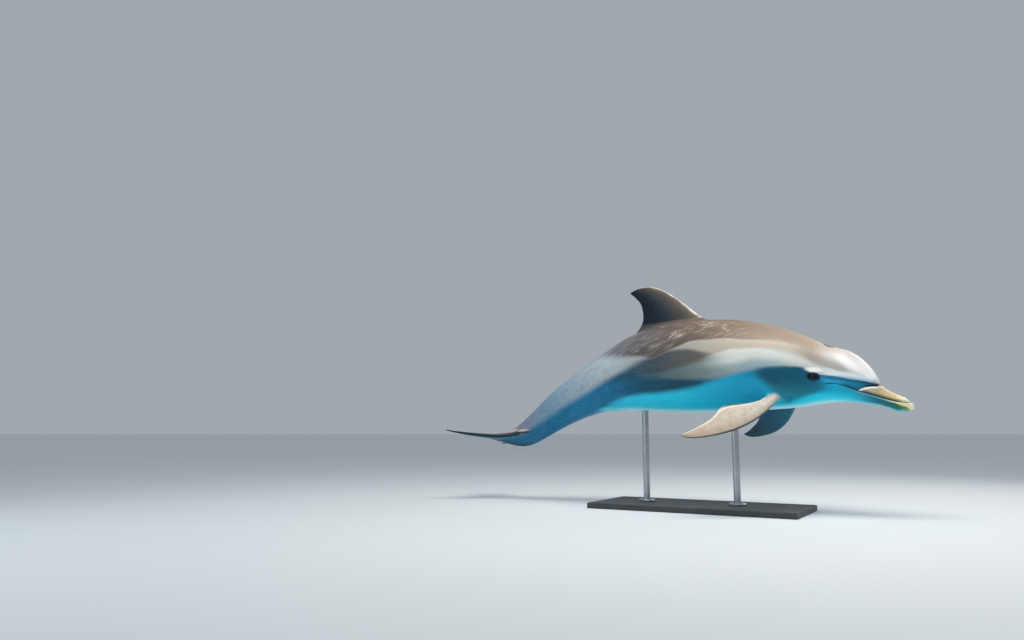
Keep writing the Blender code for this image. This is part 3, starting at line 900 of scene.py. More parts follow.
# the melon's foot: a crease over the snout that runs back and down each side
FOOT = [(0.9230, None), (0.9225, 0.6330), (0.9150, 0.6300), (0.8990, 0.6290), (0.8780, 0.6275),
        (0.8610, 0.6240), (0.8440, 0.6180), (0.8280, 0.6115), (0.8150, 0.6075)]


def side_line(points, samples=70):
    xs = np.array([q[0] for q in points], float)
    zs = np.array([q[1] if q[1] is not None else back(q[0]) for q in points], float)
    t = np.linspace(0, 1, len(points))
    tt = np.linspace(0, 1, samples)
    x, z = pchip(t, xs)(tt), pchip(t, zs)(tt)
    return np.stack([x, flank(x, np.minimum(z, back(x))), z], 1)


head_pts = (X > 0.55) & on_body
hp = np.stack([X, AY, Z], 1)[head_pts]
foot_line = side_line(FOOT)
d_foot, s_foot = near_line(hp, foot_line)
# in front of and below the crease is the snout
fx = np.interp(hp[:, 2], foot_line[::-1, 2], foot_line[::-1, 0])
fz = np.interp(hp[:, 0], foot_line[::-1, 0], foot_line[::-1, 2])
ahead = np.where(hp[:, 0] > 0.9225, -1.0, np.where(hp[:, 2] < fz, -1.0, 1.0))
d_foot = d_foot * ahead
fade = smooth((1 - s_foot) / 0.22)
side_on = smooth(s_foot / 0.28)
deep = fade * (0.0030 + 0.0030 * side_on)
f = -deep * np.where(d_foot > 0, bump(d_foot, 0.007 + 0.007 * side_on), bump(d_foot, 0.0058))
f += -fade * 0.0012 * bump(d_foot, 0.0036)
f += fade * (0.0012 + 0.0010 * side_on) * bump(d_foot - 0.032, 0.020)
f += fade * 0.0006 * bump(d_foot + 0.0105, 0.0060)
move[head_pts] += f

# the melon's side: a ledge from the brow to the melon's foot
LEDGE = [(0.672, 0.6790), (0.708, 0.6700), (0.752, 0.6655), (0.795, 0.6600), (0.838, 0.6540),
         (0.879, 0.6450), (0.905, 0.6360)]
ledge_line = side_line(LEDGE)
d_ledge, s_ledge = near_line(hp, ledge_line)
lz = np.interp(hp[:, 0], ledge_line[:, 0], ledge_line[:, 2])
d_ledge = np.where(hp[:, 2] > lz, d_ledge, -d_ledge)
fade = smooth(s_ledge / 0.25) * smooth((1 - s_ledge) / 0.15)
move[head_pts] += fade * (0.0016 * bump(d_ledge - 0.013, 0.013) - 0.0026 * bump(d_ledge + 0.009, 0.010))

# the ear's pinhole, and a soft hollow at the nape
for sgn in (1, -1):
    ear = np.array([0.566, sgn * float(flank(0.566, 0.672)), 0.672])
    d = np.linalg.norm(rest - ear, axis=1)
    move += np.where(on_body, -0.0011 * bump(d, 0.0035) + 0.0003 * bump(d - 0.006, 0.003), 0)
move += on_body * -0.0025 * bump(X - 0.545, 0.045) * smooth((nrm[:, 2] - 0.2) / 0.6)

# the brow and the cheek below the eye
d_eye = np.hypot(X - EYE_X, Z - EYE_Z)
on_side = head_pts & (np.abs(nrm[:, 1]) > 0.3)
brow = np.hypot((X - EYE_X) / 0.030, (Z - EYE_Z - 0.026) / 0.010)
move += np.where(on_side, 0.0016 * np.exp(-brow ** 2), 0)
under = np.hypot((X - EYE_X) / 0.028, (Z - EYE_Z + 0.024) / 0.008)
move += np.where(on_side, -0.0010 * np.exp(-under ** 2), 0)
for r_, h_ in ((0.0255, 0.00045), (0.0305, 0.00030)):
    move += np.where(on_side, -h_ * bump(d_eye - r_, 0.0016), 0)

# folds where the flipper meets the body
for sgn in (1, -1):
    pit = np.array([0.355, sgn * 0.165, 0.560])
    d = np.linalg.norm((rest - pit) * np.array([1, 1, 1.3]), axis=1)
    wave = np.sin((d - 0.03) * 2 * math.pi / 0.016)
    move += 0.0007 * wave * bump(d - 0.055, 0.022) * (X < 0.40)

# flesh is never quite even: slow swells, fainter on the head
wob = np.zeros(len(co))
for _ in range(10):
    k = rng.normal(size=3) * np.array([9.0, 12.0, 12.0])
    wob += np.sin(rest @ k + rng.uniform(0, 6.28)) / 10
move += on_body * 0.0013 * wob * smooth((X + 1.2) / 0.2) * (1 - 0.6 * smooth((X - 0.6) / 0.2))

co += nrm * move[:, None]
skin.data.vertices.foreach_set("co", co.astype(np.float32).ravel())
at = skin.data.attributes.new("rest", 'FLOAT_VECTOR', 'POINT')
at.data.foreach_set("vector", rest.astype(np.float32).ravel())

# how far along the bent body each point lies, its side, and its height over
# the middle line, so that streaks and scratches follow the body
mid_line = 0.5 * (back(FINE) + belly(FINE))
window = np.hanning(121) / np.hanning(121).sum()
incline = np.convolve(np.pad(np.gradient(mid_line, FINE), 60, mode='edge'), window, 'valid')
run = np.concatenate([[0], np.cumsum(np.hypot(1, 0.5 * (incline[1:] + incline[:-1]))
                                     * np.diff(FINE))])
lift = rest[:, 2] - np.interp(X, FINE, mid_line)
lean = np.arctan(np.interp(X, FINE, incline))
flow = np.stack([np.interp(X, FINE, run) + lift * np.sin(lean), rest[:, 1],
                 lift * np.cos(lean)], -1)
at = skin.data.attributes.new("flow", 'FLOAT_VECTOR', 'POINT')
at.data.foreach_set("vector", flow.astype(np.float32).ravel())
skin.data.update()


# ------------------------------------------------------------ materials
def rgb(code, a=1.0):
    v = [int(code[i:i + 2], 16) / 255 for i in (1, 3, 5)]
    return [(c / 12.92 if c <= 0.04045 else ((c + 0.055) / 1.055) ** 2.4) for c in v] + [a]


class Paint:
    """Short names for shader nodes; every call returns an output socket."""

    def __init__(self, name):
        self.mat = bpy.data.materials.new(name)
        self.mat.use_nodes = True
        self.t = self.mat.node_tree
        self.t.nodes.clear()
        self.out = self.t.nodes.new("ShaderNodeOutputMaterial")
        self.shader = self.t.nodes.new("ShaderNodeBsdfPrincipled")
        self.t.links.new(self.shader.outputs[0], self.out.inputs[0])

    def put(self, node, key, v):
        if isinstance(v, bpy.types.NodeSocket):
            self.t.links.new(v, node.inputs[key])
        elif v is not None:
            node.inputs[key].default_value = v

    def set(self, **kw):
        for k, v in kw.items():
            self.put(self.shader, k.replace("_", " "), v)

    def math(self, op, a, b=None, c=None, clamp=False):
        n = self.t.nodes.new("ShaderNodeMath")
        n.operation, n.use_clamp = op, clamp
        for i, v in enumerate((a, b, c)):
            self.put(n, i, v)
        return n.outputs[0]

    def add(self, a, b):
        return self.math('ADD', a, b)

    def mul(self, a, b):
        return self.math('MULTIPLY', a, b)

    def sub(self, a, b):
        return self.math('SUBTRACT', a, b)

    def step(self, v, lo, hi, to0=0.0, to1=1.0, kind='SMOOTHSTEP'):
        """0 below lo, 1 above hi (or the other way round if lo > hi)."""
        n = self.t.nodes.new("ShaderNodeMapRange")
        n.interpolation_type = kind
        if not isinstance(lo, bpy.types.NodeSocket) and lo > hi:
            lo, hi, to0, to1 = hi, lo, to1, to0
        for k, x in (("Value", v), ("From Min", lo), ("From Max", hi), ("To Min", to0), ("To Max", to1)):
            self.put(n, k, x)
        return n.outputs[0]

    def attr(self, name):
        n = self.t.nodes.new("ShaderNodeAttribute")
        n.attribute_name = name
        return n

    def split(self, v):
        n = self.t.nodes.new("ShaderNodeSeparateXYZ")
        self.t.links.new(v, n.inputs[0])
        return n.outputs[0], n.outputs[1], n.outputs[2]

    def join(self, x, y, z):
        n = self.t.nodes.new("ShaderNodeCombineXYZ")
        for i, v in enumerate((x, y, z)):
            self.put(n, i, v)
        return n.outputs[0]

    def scaled(self, v, s):
        n = self.t.nodes.new("ShaderNodeVectorMath")
        n.operation = 'MULTIPLY'
        self.put(n, 0, v)
        self.put(n, 1, s)
        return n.outputs[0]

    def noise(self, v, scale, detail=2.0, rough=0.5, warp=0.0):
        n = self.t.nodes.new("ShaderNodeTexNoise")
        self.put(n, "Vector", v)
        for k, x in (("Scale", scale), ("Detail", detail), ("Roughness", rough), ("Distortion", warp)):
            n.inputs[k].default_value = x
        return n.outputs[0]

    def cells(self, v, scale, feature='F1'):
        n = self.t.nodes.new("ShaderNodeTexVoronoi")
        n.feature = feature
        self.put(n, "Vector", v)
        n.inputs["Scale"].default_value = scale
        return n.outputs["Distance"]

    def curve(self, v, points, lo, hi, out_lo=0.0, out_hi=1.0):
        """A smooth curve through (in, out) points, as a Float Curve node."""
        u = self.step(v, lo, hi, kind='LINEAR')
        n = self.t.nodes.new("ShaderNodeFloatCurve")
        self.put(n, "Value", u)
        c = n.mapping.curves[0]
        pts = [((a - lo) / (hi - lo), (b - out_lo) / (out_hi - out_lo)) for a, b in points]
        c.points[0].location, c.points[1].location = pts[0], pts[-1]
        for q in pts[1:-1]:
            c.points.new(*q)
        for q in c.points:
            q.handle_type = 'AUTO_CLAMPED'
        n.mapping.use_clip = False
        n.mapping.update()
        return self.step(n.outputs[0], 0.0, 1.0, out_lo, out_hi, kind='LINEAR')

    def ramp(self, v, stops):
        n = self.t.nodes.new("ShaderNodeValToRGB")
        self.put(n, "Fac", v)
        e = n.color_ramp.elements
        while len(e) > 1:
            e.remove(e[-1])
        e[0].position, e[0].color = stops[0][0], stops[0][1]
        for p, col in stops[1:]:
            q = e.new(p)
            q.color = col
        return n.outputs[0]

    def mix(self, f, a, b, mode='MIX'):
        n = self.t.nodes.new("ShaderNodeMix")
        n.data_type, n.blend_type = 'RGBA', mode
        self.put(n, 0, f)
        self.put(n, 6, a)
        self.put(n, 7, b)
        return n.outputs[2]

    def bump(self, height, strength, distance, normal=None):
        n = self.t.nodes.new("ShaderNodeBump")
        self.put(n, "Height", height)
        n.inputs["Strength"].default_value = strength
        n.inputs["Distance"].default_value = distance
        if normal is not None:
            self.put(n, "Normal", normal)
        return n.outputs[0]


# Heights of the colour boundaries on the flank, along the body's length
CAPE = [(-1.30, 0.37), (-0.95, 0.60), (-0.75, 0.735), (-0.54, 0.832), (-0.38, 0.822), (-0.25, 0.818),
        (-0.205, 0.812), (-0.172, 0.800), (-0.129, 0.823), (-0.073, 0.844), (-0.018, 0.865),
        (0.035, 0.884), (0.088, 0.889), (0.244, 0.888), (0.343, 0.878), (0.438, 0.869), (0.53, 0.851),
        (0.66, 0.812), (0.80, 0.775)]
SHADE = [(-1.34, 0.350), (-1.10, 0.385), (-0.939, 0.455), (-0.791, 0.540), (-0.647, 0.607),
         (-0.506, 0.675), (-0.438, 0.705), (-0.373, 0.735), (-0.300, 0.768), (-0.240, 0.787),
         (-0.185, 0.803)]
WEDGE_UP = [(-0.30, 0.792), (-0.187, 0.803), (-0.073, 0.841), (0.000, 0.842), (0.039, 0.840),
            (0.093, 0.826), (0.172, 0.807), (0.230, 0.797)]
WEDGE_LO = [(-0.30, 0.715), (-0.248, 0.731), (-0.130, 0.731), (-0.072, 0.745), (-0.016, 0.753),
            (0.040, 0.766), (0.093, 0.776), (0.146, 0.786), (0.230, 0.797)]
FLANK = [(-0.34, 0.690), (-0.250, 0.696), (-0.135, 0.687), (-0.021, 0.681), (0.088, 0.679),
         (0.141, 0.680), (0.193, 0.687), (0.246, 0.700), (0.297, 0.712), (0.346, 0.722),
         (0.395, 0.727), (0.488, 0.730), (0.577, 0.727), (0.618, 0.700), (0.664, 0.672),
         (0.752, 0.662), (0.838, 0.652), (0.907, 0.634)]
BELLY = [(-1.30, 0.30), (-0.80, 0.40), (-0.60, 0.505), (-0.50, 0.550), (-0.392, 0.594), (-0.326, 0.608),
         (-0.264, 0.616), (-0.146, 0.619), (-0.030, 0.629), (0.083, 0.646), (0.166, 0.668),
         (0.30, 0.690), (0.42, 0.665), (0.50, 0.615), (0.58, 0.596), (0.66, 0.600), (0.80, 0.590),
         (1.06, 0.54)]


def skin_paint():
    p = Paint("dolphin_skin")
    rest_ = p.attr("rest").outputs["Vector"]
    x, y, z = p.split(rest_)
    flow_ = p.attr("flow").outputs["Vector"]
    fs, fy, fh = p.split(flow_)
    span_, chord_, upper_ = (p.attr(k).outputs["Fac"] for k in ("span", "chord", "upper"))
    is_d, is_f, is_k = (p.attr(k).outputs["Fac"] for k in ("dorsal", "flipper", "fluke"))
    L0, L1 = -1.4, 1.1
    u = p.step(x, L0, L1, kind='LINEAR')

    def along(*stops):
        """A colour that changes along the body: (x, colour) stops."""
        return p.ramp(u, [((a - L0) / (L1 - L0), rgb(c)) for a, c in stops])

    # slow and streaky unevenness, drawn out along the bent body
    slow = p.noise(p.scaled(flow_, (1.0, 3.2, 3.2)), 2.2, 3.0, 0.55)
    mid = p.noise(p.scaled(flow_, (1.0, 3.2, 3.2)), 8.0, 4.0, 0.6)
    even = p.noise(rest_, 16.0, 3.0, 0.55)
    fine = p.noise(rest_, 70.0, 3.0, 0.6)
    streak = p.noise(p.scaled(flow_, (1.0, 9.0, 9.0)), 9.0, 4.0, 0.55, 0.3)
    calm = p.step(x, 0.45, 0.68, 1.0, 0.30)                # the head's edges waver less
    wob = p.mul(calm, p.add(p.mul(p.sub(slow, 0.5), 0.022), p.mul(p.sub(mid, 0.5), 0.010)))
    zz = p.add(z, wob)

    def height(points):
        return p.curve(x, points, L0, L1, 0.25, 1.05)

    def above(points, soft, bias=0.0):
        """1 above a boundary, 0 below it; soft: the width of the change."""
        d = p.sub(zz, height(points))
        if bias:
            d = p.sub(d, bias)
        if isinstance(soft, bpy.types.NodeSocket):
            return p.step(p.math('DIVIDE', d, soft), -0.5, 0.5)
        return p.step(d, -soft / 2, soft / 2)

    def between(a, b, c=None, d=None):
        """A window in x: rises from a to b, falls from c to d."""
        m = p.step(x, a, b)
        return m if c is None else p.mul(m, p.step(x, d, c))

    def oval(cx_, cz_, rx, rz, inner, outer, turn_=0.0, rough_=0.30):
        ct, st = math.cos(turn_), math.sin(turn_)
        dx, dz = p.sub(x, cx_), p.sub(z, cz_)
        a = p.math('DIVIDE', p.add(p.mul(dx, ct), p.mul(dz, st)), rx)
        b = p.math('DIVIDE', p.sub(p.mul(dz, ct), p.mul(dx, st)), rz)
        r = p.math('SQRT', p.add(p.mul(a, a), p.mul(b, b)))
        return p.step(p.add(r, p.mul(p.sub(even, 0.5), rough_)), outer, inner)

    def lay(f, under, over, amount=1.0):
        return p.mix(p.mul(f, amount) if amount != 1.0 else f, under, over)

    # belly: pale skin painted cyan as painted water light from below
    belly_and_water_light_c = along((-1.35, "#2c6f8c"), (-0.70, "#107ea6"), (-0.52, "#1cb4da"), (-0.35, "#28d4f4"),
                    (-0.10, "#28d4f4"), (0.08, "#1cc4e8"), (0.28, "#0eacd4"), (0.36, "#0ea6d0"),
                    (0.50, "#18ccec"), (0.66, "#20e2fc"), (0.78, "#1ad0ec"), (0.86, "#1eb2cc"),
                    (0.94, "#4fa2aa"), (1.05, "#b3b890"))
    # lower flank: mid-grey skin darkened as painted shade and tinted with painted cyan water light
    flank_grey_and_shade_c = along((-1.35, "#0d5c7a"), (-0.95, "#0a6a90"), (-0.64, "#0a7aa8"), (-0.45, "#087098"),
                   (-0.26, "#07546e"), (-0.03, "#06465c"), (0.08, "#0a566c"), (0.17, "#1c8cae"),
                   (0.27, "#20a0c6"), (0.36, "#188cb0"), (0.42, "#0e6884"), (0.53, "#084c64"),
                   (0.63, "#0a7090"), (0.72, "#10b4de"), (0.90, "#1c98b0"), (1.05, "#80886f"))
    band_c = along((-1.35, "#2f566c"), (-0.60, "#1c566e"), (-0.30, "#1d5068"), (-0.16, "#3f616c"),
                   (-0.02, "#69797b"), (0.12, "#7f8d8d"), (0.26, "#9cacae"), (0.42, "#9fb5bb"),
                   (0.58, "#a3b4b8"), (0.72, "#c3c9c9"), (1.05, "#d8cfb2"))
    light_c = along((-1.35, "#46545f"), (-1.20, "#57626e"), (-1.10, "#848292"), (-0.97, "#7895ab"),
                    (-0.86, "#789fb4"), (-0.72, "#9ab2c0"), (-0.52, "#b2bfc5"), (-0.30, "#a4abae"),
                    (-0.16, "#97989a"), (-0.02, "#9f9c96"), (0.12, "#b2aa9d"), (0.30, "#bfb4a4"),
                    (0.50, "#c6b9a9"), (0.62, "#b3a897"), (0.72, "#cbc3b9"), (1.05, "#d8c9a8"))
    cape_c = along((-1.35, "#4a5662"), (-1.18, "#5a6270"), (-1.10, "#6c6c7c"), (-0.90, "#6f8296"), (-0.72, "#8a9aab"),
                   (-0.56, "#7f8792"), (-0.42, "#646670"), (-0.26, "#595658"), (-0.10, "#5f544e"),
                   (0.07, "#6c5a4c"), (0.28, "#83705d"), (0.46, "#9a8a77"), (0.60, "#aa9b88"),
                   (0.70, "#c0ab97"), (1.05, "#dac9a5"))
    soft_tail = p.curve(x, [(-1.4, 0.030), (-0.9, 0.060), (-0.45, 0.060), (-0.28, 0.030), (-0.10, 0.016),
                            (0.25, 0.012), (0.45, 0.018), (0.62, 0.040), (0.85, 0.060), (1.1, 0.05)],
                        L0, L1, 0.0, 0.1)
    soft_low = p.curve(x, [(-1.4, 0.06), (-0.3, 0.045), (0.0, 0.022), (0.20, 0.040), (0.40, 0.030),
                           (0.56, 0.018), (0.66, 0.010), (0.9, 0.007), (1.1, 0.02)], L0, L1, 0.0, 0.1)

    col = lay(above(BELLY, 0.036), belly_and_water_light_c, flank_grey_and_shade_c)
    col = lay(above(FLANK, soft_low), col, band_c)
    # behind the fin the whole side over the shade line is pale
    col = lay(p.mul(above(SHADE, 0.055), p.step(x, -0.110, -0.255)), col, light_c)
    # above the wedge the light band begins
    col = lay(p.mul(above(WEDGE_LO, 0.016), p.step(x, -0.185, -0.085)), col, light_c)
    wedge = p.mul(p.mul(p.sub(1.0, above(WEDGE_UP, 0.026)), above(WEDGE_LO, 0.022, -0.008)),
                  p.mul(p.step(x, 0.235, 0.080), p.step(x, -0.34, -0.15)))
    col = lay(wedge, col, p.mix(p.step(x, -0.22, 0.12), rgb("#394955"), rgb("#605d57")))

    # a painted highlight along a ridge over the shoulder, from the flank to the brow
    r_up = [(0.00, 0.752), (0.039, 0.767), (0.119, 0.793), (0.197, 0.817), (0.273, 0.830), (0.348, 0.830),
            (0.422, 0.825), (0.484, 0.814), (0.530, 0.800), (0.576, 0.781), (0.612, 0.760), (0.643, 0.742),
            (0.670, 0.729), (0.72, 0.714)]
    r_lo = [(0.00, 0.715), (0.092, 0.731), (0.197, 0.747), (0.298, 0.762), (0.373, 0.776), (0.446, 0.768),
            (0.512, 0.752), (0.576, 0.733), (0.62, 0.720), (0.70, 0.698)]
    soft_r = p.step(x, 0.35, 0.60, 0.018, 0.046)
    col = lay(p.mul(above(r_up, soft_r), between(0.16, 0.30)), col, light_c)
    # painted highlight on the shoulder ridge
    ridge_highlight = p.mul(p.mul(p.sub(1.0, above(r_up, soft_r)), above(r_lo, 0.050)), between(0.04, 0.26, 0.61, 0.72))
    ridge_highlight = p.mul(ridge_highlight, p.step(x, 0.05, 0.30, 0.35, 0.95))
    col = lay(ridge_highlight, col, p.mix(p.step(x, 0.45, 0.62), rgb("#dcdfd8"), rgb("#dad5cc")))
    # the cape, with a darker hem under the fin
    cape_m = above(CAPE, soft_tail)
    col = lay(p.mul(cape_m, p.step(x, 0.80, 0.60)), col, cape_c)
    hd = p.sub(zz, height(CAPE))
    hem = p.mul(p.mul(p.step(hd, 0.0, 0.008), p.step(hd, 0.070, 0.012)), between(-0.50, -0.26, 0.02, 0.34))
    col = lay(hem, col, rgb("#454042"), 0.45)
    pale_side = above(SHADE, 0.055, 0.01)
    rake_ = p.noise(p.scaled(flow_, (3.0, 16.0, 16.0)), 2.4, 4.0, 0.6, 0.2)
    violet = p.mul(p.step(rake_, 0.46, 0.60), p.mul(pale_side, between(-1.20, -1.05, -0.58, -0.42)))
    col = lay(violet, col, rgb("#6f7590"), 0.38)
    dusk = p.mul(p.step(rake_, 0.52, 0.36), p.mul(pale_side, between(-1.20, -1.00, -0.50, -0.36)))
    col = lay(dusk, col, rgb("#4a5a6a"), 0.30)
    ridge_t = p.mul(above(CAPE, 0.05, 0.015), between(-1.22, -1.02, -0.66, -0.50))
    col = lay(ridge_t, col, rgb("#4f5b6b"), 0.45)
    pink = p.mul(p.step(even, 0.42, 0.62), p.mul(cape_m, between(0.20, 0.45, 0.72, 0.85)))
    col = lay(pink, col, rgb("#c08f7e"), 0.15)

    # head: pale melon with a grey-brown band of painted shade below its painted highlight,
    # running back over the shoulder, and a paler strip over the dark stripe
    melon = p.mul(between(0.63, 0.73), p.mul(above(FLANK, 0.010), p.step(x, 0.950, 0.930)))
    melon_c = p.mix(p.step(z, 0.69, 0.80), rgb("#dde4e7"), rgb("#dad3cb"))
    col = lay(melon, col, melon_c, 0.92)
    # painted shade: a grey-brown band under the melon's painted highlight
    m_mid = height([(0.50, 0.838), (0.576, 0.806), (0.620, 0.780), (0.657, 0.757), (0.700, 0.739), (0.745, 0.722),
                    (0.790, 0.703), (0.83, 0.690)])
    md2 = p.sub(z, m_mid)
    melon_shade_band = p.mul(p.mul(p.mul(p.step(md2, 0.056, 0.000), p.step(md2, -0.030, -0.010)),
                         between(0.53, 0.69, 0.755, 0.835)),
                   p.step(p.sub(z, height([(0.50, 0.81), (0.62, 0.735), (0.70, 0.715), (0.80, 0.690), (0.9, 0.67)])), -0.008, 0.008))
    col = lay(melon_shade_band, col, rgb("#928982"), 0.66)
    strip = p.mul(oval(0.735, 0.690, 0.110, 0.014, 0.35, 1.15, math.radians(-9)), melon)
    col = lay(strip, col, rgb("#e8e8e4"), 0.66)
    # painted highlights on the melon's crown and along its front
    melon_highlight = oval(0.798, 0.738, 0.108, 0.030, 0.12, 1.15, math.radians(-37))
    col = lay(melon_highlight, col, rgb("#fbfaf7"), 0.95)
    front = oval(0.868, 0.712, 0.092, 0.030, 0.2, 1.15, math.radians(-50))
    col = lay(front, col, rgb("#f8f3f1"), 0.75)
    # painted shade low on the melon's front side
    melon_side_shade = oval(0.835, 0.685, 0.050, 0.011, 0.3, 1.2, math.radians(-30))
    col = lay(melon_side_shade, col, rgb("#b9c3cd"), 0.35)
    tan = p.mul(p.step(z, 0.792, 0.822), between(0.64, 0.70, 0.80, 0.88))
    col = lay(tan, col, rgb("#bfa996"), 0.48)

    # painted shade: the shoulder's dark field, tinted with painted cyan water light, ends in front of the chest and at
    # the throat
    x_left = p.curve(z, [(0.50, 0.520), (0.540, 0.500), (0.558, 0.485), (0.585, 0.465), (0.625, 0.436),
                         (0.663, 0.412), (0.706, 0.392), (0.76, 0.360)], 0.50, 0.76, 0.2, 0.6)
    shoulder_shade = p.mul(p.step(p.sub(p.add(x, p.mul(p.sub(slow, 0.5), 0.05)), x_left), -0.045, 0.035),
                  p.sub(1.0, above(FLANK, soft_low)))
    shoulder_shade = p.mul(shoulder_shade, above([(0.30, 0.53), (0.483, 0.545), (0.535, 0.566), (0.585, 0.586), (0.637, 0.606),
                                (0.672, 0.624), (0.72, 0.640)], 0.026))
    shoulder_shade = p.mul(shoulder_shade, p.step(x, 0.72, 0.63))
    col = lay(shoulder_shade, col, p.mix(p.step(p.add(z, p.mul(p.sub(slow, 0.5), 0.10)), 0.715, 0.590), rgb("#075570"), rgb("#138096")), 0.94)

    # dark eye patch, a painted highlight on the brow, a stripe to the melon's foot
    # painted highlight on the brow
    brow = oval(0.640, 0.713, 0.044, 0.014, 0.35, 1.25, math.radians(-6))
    col = lay(brow, col, rgb("#fdfcf2"), 0.95)
    stripe_z = height([(0.60, 0.684), (0.668, 0.6785), (0.710, 0.6730), (0.751, 0.6670), (0.794, 0.6570),
                       (0.838, 0.6500), (0.880, 0.6405), (0.915, 0.6345)])
    half_w = p.step(x, 0.66, 0.91, 0.0096, 0.0062)
    sd = p.sub(z, stripe_z)
    cheek_lo = height(MOUTH.tolist()[:-1])
    md = p.sub(z, cheek_lo)                                # height over the mouth line
    over_mouth = p.step(md, -0.003, 0.003)
    # the cheek under the melon's ledge: painted cyan water light, darker toward the snout as painted shade
    on_cheek = p.mul(p.mul(p.step(sd, 0.000, -0.008), over_mouth), between(0.655, 0.70, 0.905, 0.930))
    cheek_water_light_c = p.ramp(p.step(x, 0.66, 0.92, kind='LINEAR'),
                     [(0.0, rgb("#2cb0d2")), (0.30, rgb("#22a2c8")), (0.55, rgb("#1688ae")),
                      (0.75, rgb("#116e90")), (1.0, rgb("#185c72"))])
    col = lay(on_cheek, col, cheek_water_light_c, 0.95)
    # painted shade low on the cheek, over the mouth line
    low_cheek_shade = p.mul(p.step(md, 0.024, 0.006), p.mul(over_mouth, between(0.74, 0.79, 0.84, 0.87)))
    col = lay(low_cheek_shade, col, rgb("#0a5674"), 0.78)
    ratio = p.math('DIVIDE', p.math('ABSOLUTE', sd), half_w)
    # a painted pale-blue highlight just over the stripe
    melon_foot_highlight = p.mul(p.mul(p.step(sd, 0.003, 0.008), p.step(sd, 0.026, 0.010)), between(0.70, 0.80, 0.895, 0.920))
    col = lay(melon_foot_highlight, col, rgb("#8ccbe4"), 0.62)
    stripe = p.mul(p.step(ratio, 1.35, 0.65), between(0.640, 0.665, 0.915, 0.935))
    col = lay(stripe, col, p.mix(p.step(x, 0.78, 0.90), rgb("#00729c"), rgb("#053c58")), 0.94)
    patch = oval(0.6345, 0.6790, 0.0330, 0.0225, 0.72, 1.12, math.radians(-4), 0.12)
    col = lay(patch, col, rgb("#011434"), 0.99)

    # snout: ochre above, yellow-cream tips, under the jaw painted cyan water light and teal-olive painted shade
    foot_z = height([(0.800, 0.602), (0.828, 0.6115), (0.844, 0.618), (0.861, 0.624), (0.878, 0.6275),
                     (0.899, 0.629), (0.915, 0.630), (0.9225, 0.660), (0.930, 0.75)])
    fd = p.sub(foot_z, z)
    snout = p.mul(p.mul(p.step(fd, -0.002, 0.002), over_mouth), between(0.818, 0.832))
    su = p.step(x, 0.82, 1.05, kind='LINEAR')
    beak_c = p.ramp(su, [(0.0, rgb("#cbc8ba")), (0.22, rgb("#c9bda4")), (0.50, rgb("#cfb994")),
                         (0.70, rgb("#e2cc94")), (0.82, rgb("#f7f0bc")), (1.0, rgb("#fffde2"))])
    stain = p.noise(p.scaled(rest_, (1.0, 2.0, 3.0)), 40.0, 3.0, 0.55)
    beak_c = lay(p.step(stain, 0.50, 0.62), beak_c, rgb("#cc955a"), 0.32)
    # painted shade under the upper lip's edge
    beak_c = lay(p.mul(p.step(md, 0.020, 0.003), p.step(x, 1.036, 0.985)), beak_c, rgb("#423f28"), 0.80)
    col = lay(snout, col, beak_c)
    # a painted highlight along the beak's upper edge, under the melon's foot
    rim = p.mul(p.mul(p.step(fd, 0.0150, 0.0060), p.step(fd, -0.001, 0.002)), p.mul(snout, p.step(x, 0.952, 0.890)))
    col = lay(rim, col, rgb("#f6f5ea"), 0.95)
    # under the jaw: painted cyan water light at the throat, teal-olive painted shade along the jaw, its own cream at
    # the tip
    jaw = p.mul(p.sub(1.0, over_mouth), between(0.76, 0.90))
    jaw_tone_and_shade_c = p.ramp(su, [(0.0, rgb("#34a8c2")), (0.30, rgb("#127690")), (0.60, rgb("#126a6c")),
                        (0.76, rgb("#2c6e52")), (0.90, rgb("#7c8a3c")), (0.97, rgb("#d6cc78")),
                        (1.0, rgb("#fff6c4"))])
    col = lay(jaw, col, jaw_tone_and_shade_c, 0.95)
    # the jaw's pale rim widens to a cream tip
    tip_in = p.curve(x, [(0.90, 0.0), (0.965, 0.004), (1.00, 0.012), (1.03, 0.020), (1.05, 0.034), (1.06, 0.05)],
                     0.90, 1.06, 0.0, 0.05)
    cream = p.mul(p.step(p.add(md, tip_in), -0.007, 0.001), p.step(x, 0.955, 1.000))
    col = lay(p.mul(cream, jaw), col, p.mix(p.step(x, 0.98, 1.045), rgb("#dcd288"), rgb("#ffffdc")), 0.95)
    lip = p.mul(p.mul(p.step(md, -0.0006, -0.0028), p.step(md, -0.0115, -0.0060)), between(0.78, 0.86))
    col = lay(lip, col, p.mix(p.step(x, 0.92, 1.00), rgb("#6cbcc0"), rgb("#fffad0")), 0.90)
    # a painted light rim along the throat's lower edge
    keel = p.mul(p.step(p.sub(z, height([(0.60, 0.562), (0.75, 0.569), (0.87, 0.554), (0.95, 0.532),
                                         (1.00, 0.516), (1.05, 0.524)])), 0.004, -0.010),
                 between(0.60, 0.75, 1.010, 1.040))
    col = lay(keel, col, rgb("#58def2"), 0.85)
    # a paler underside along the lower edge of the belly and chest, brightened as a painted rim light
    low = p.sub(z, height([(-0.60, 0.506), (-0.508, 0.529), (-0.35, 0.529), (-0.16, 0.520), (0.054, 0.513),
                           (0.223, 0.513), (0.386, 0.524), (0.529, 0.533), (0.63, 0.548), (0.71, 0.556),
                           (0.815, 0.551), (0.872, 0.542)]))
    col = lay(p.mul(p.step(low, 0.026, 0.006), between(-0.62, -0.48, 0.70, 0.86)), col, rgb("#6cf0ff"), 0.82)
    col = lay(p.mul(p.step(low, 0.0135, 0.0050), between(-0.50, -0.36, 0.66, 0.80)), col, rgb("#b8f8ff"), 0.82)
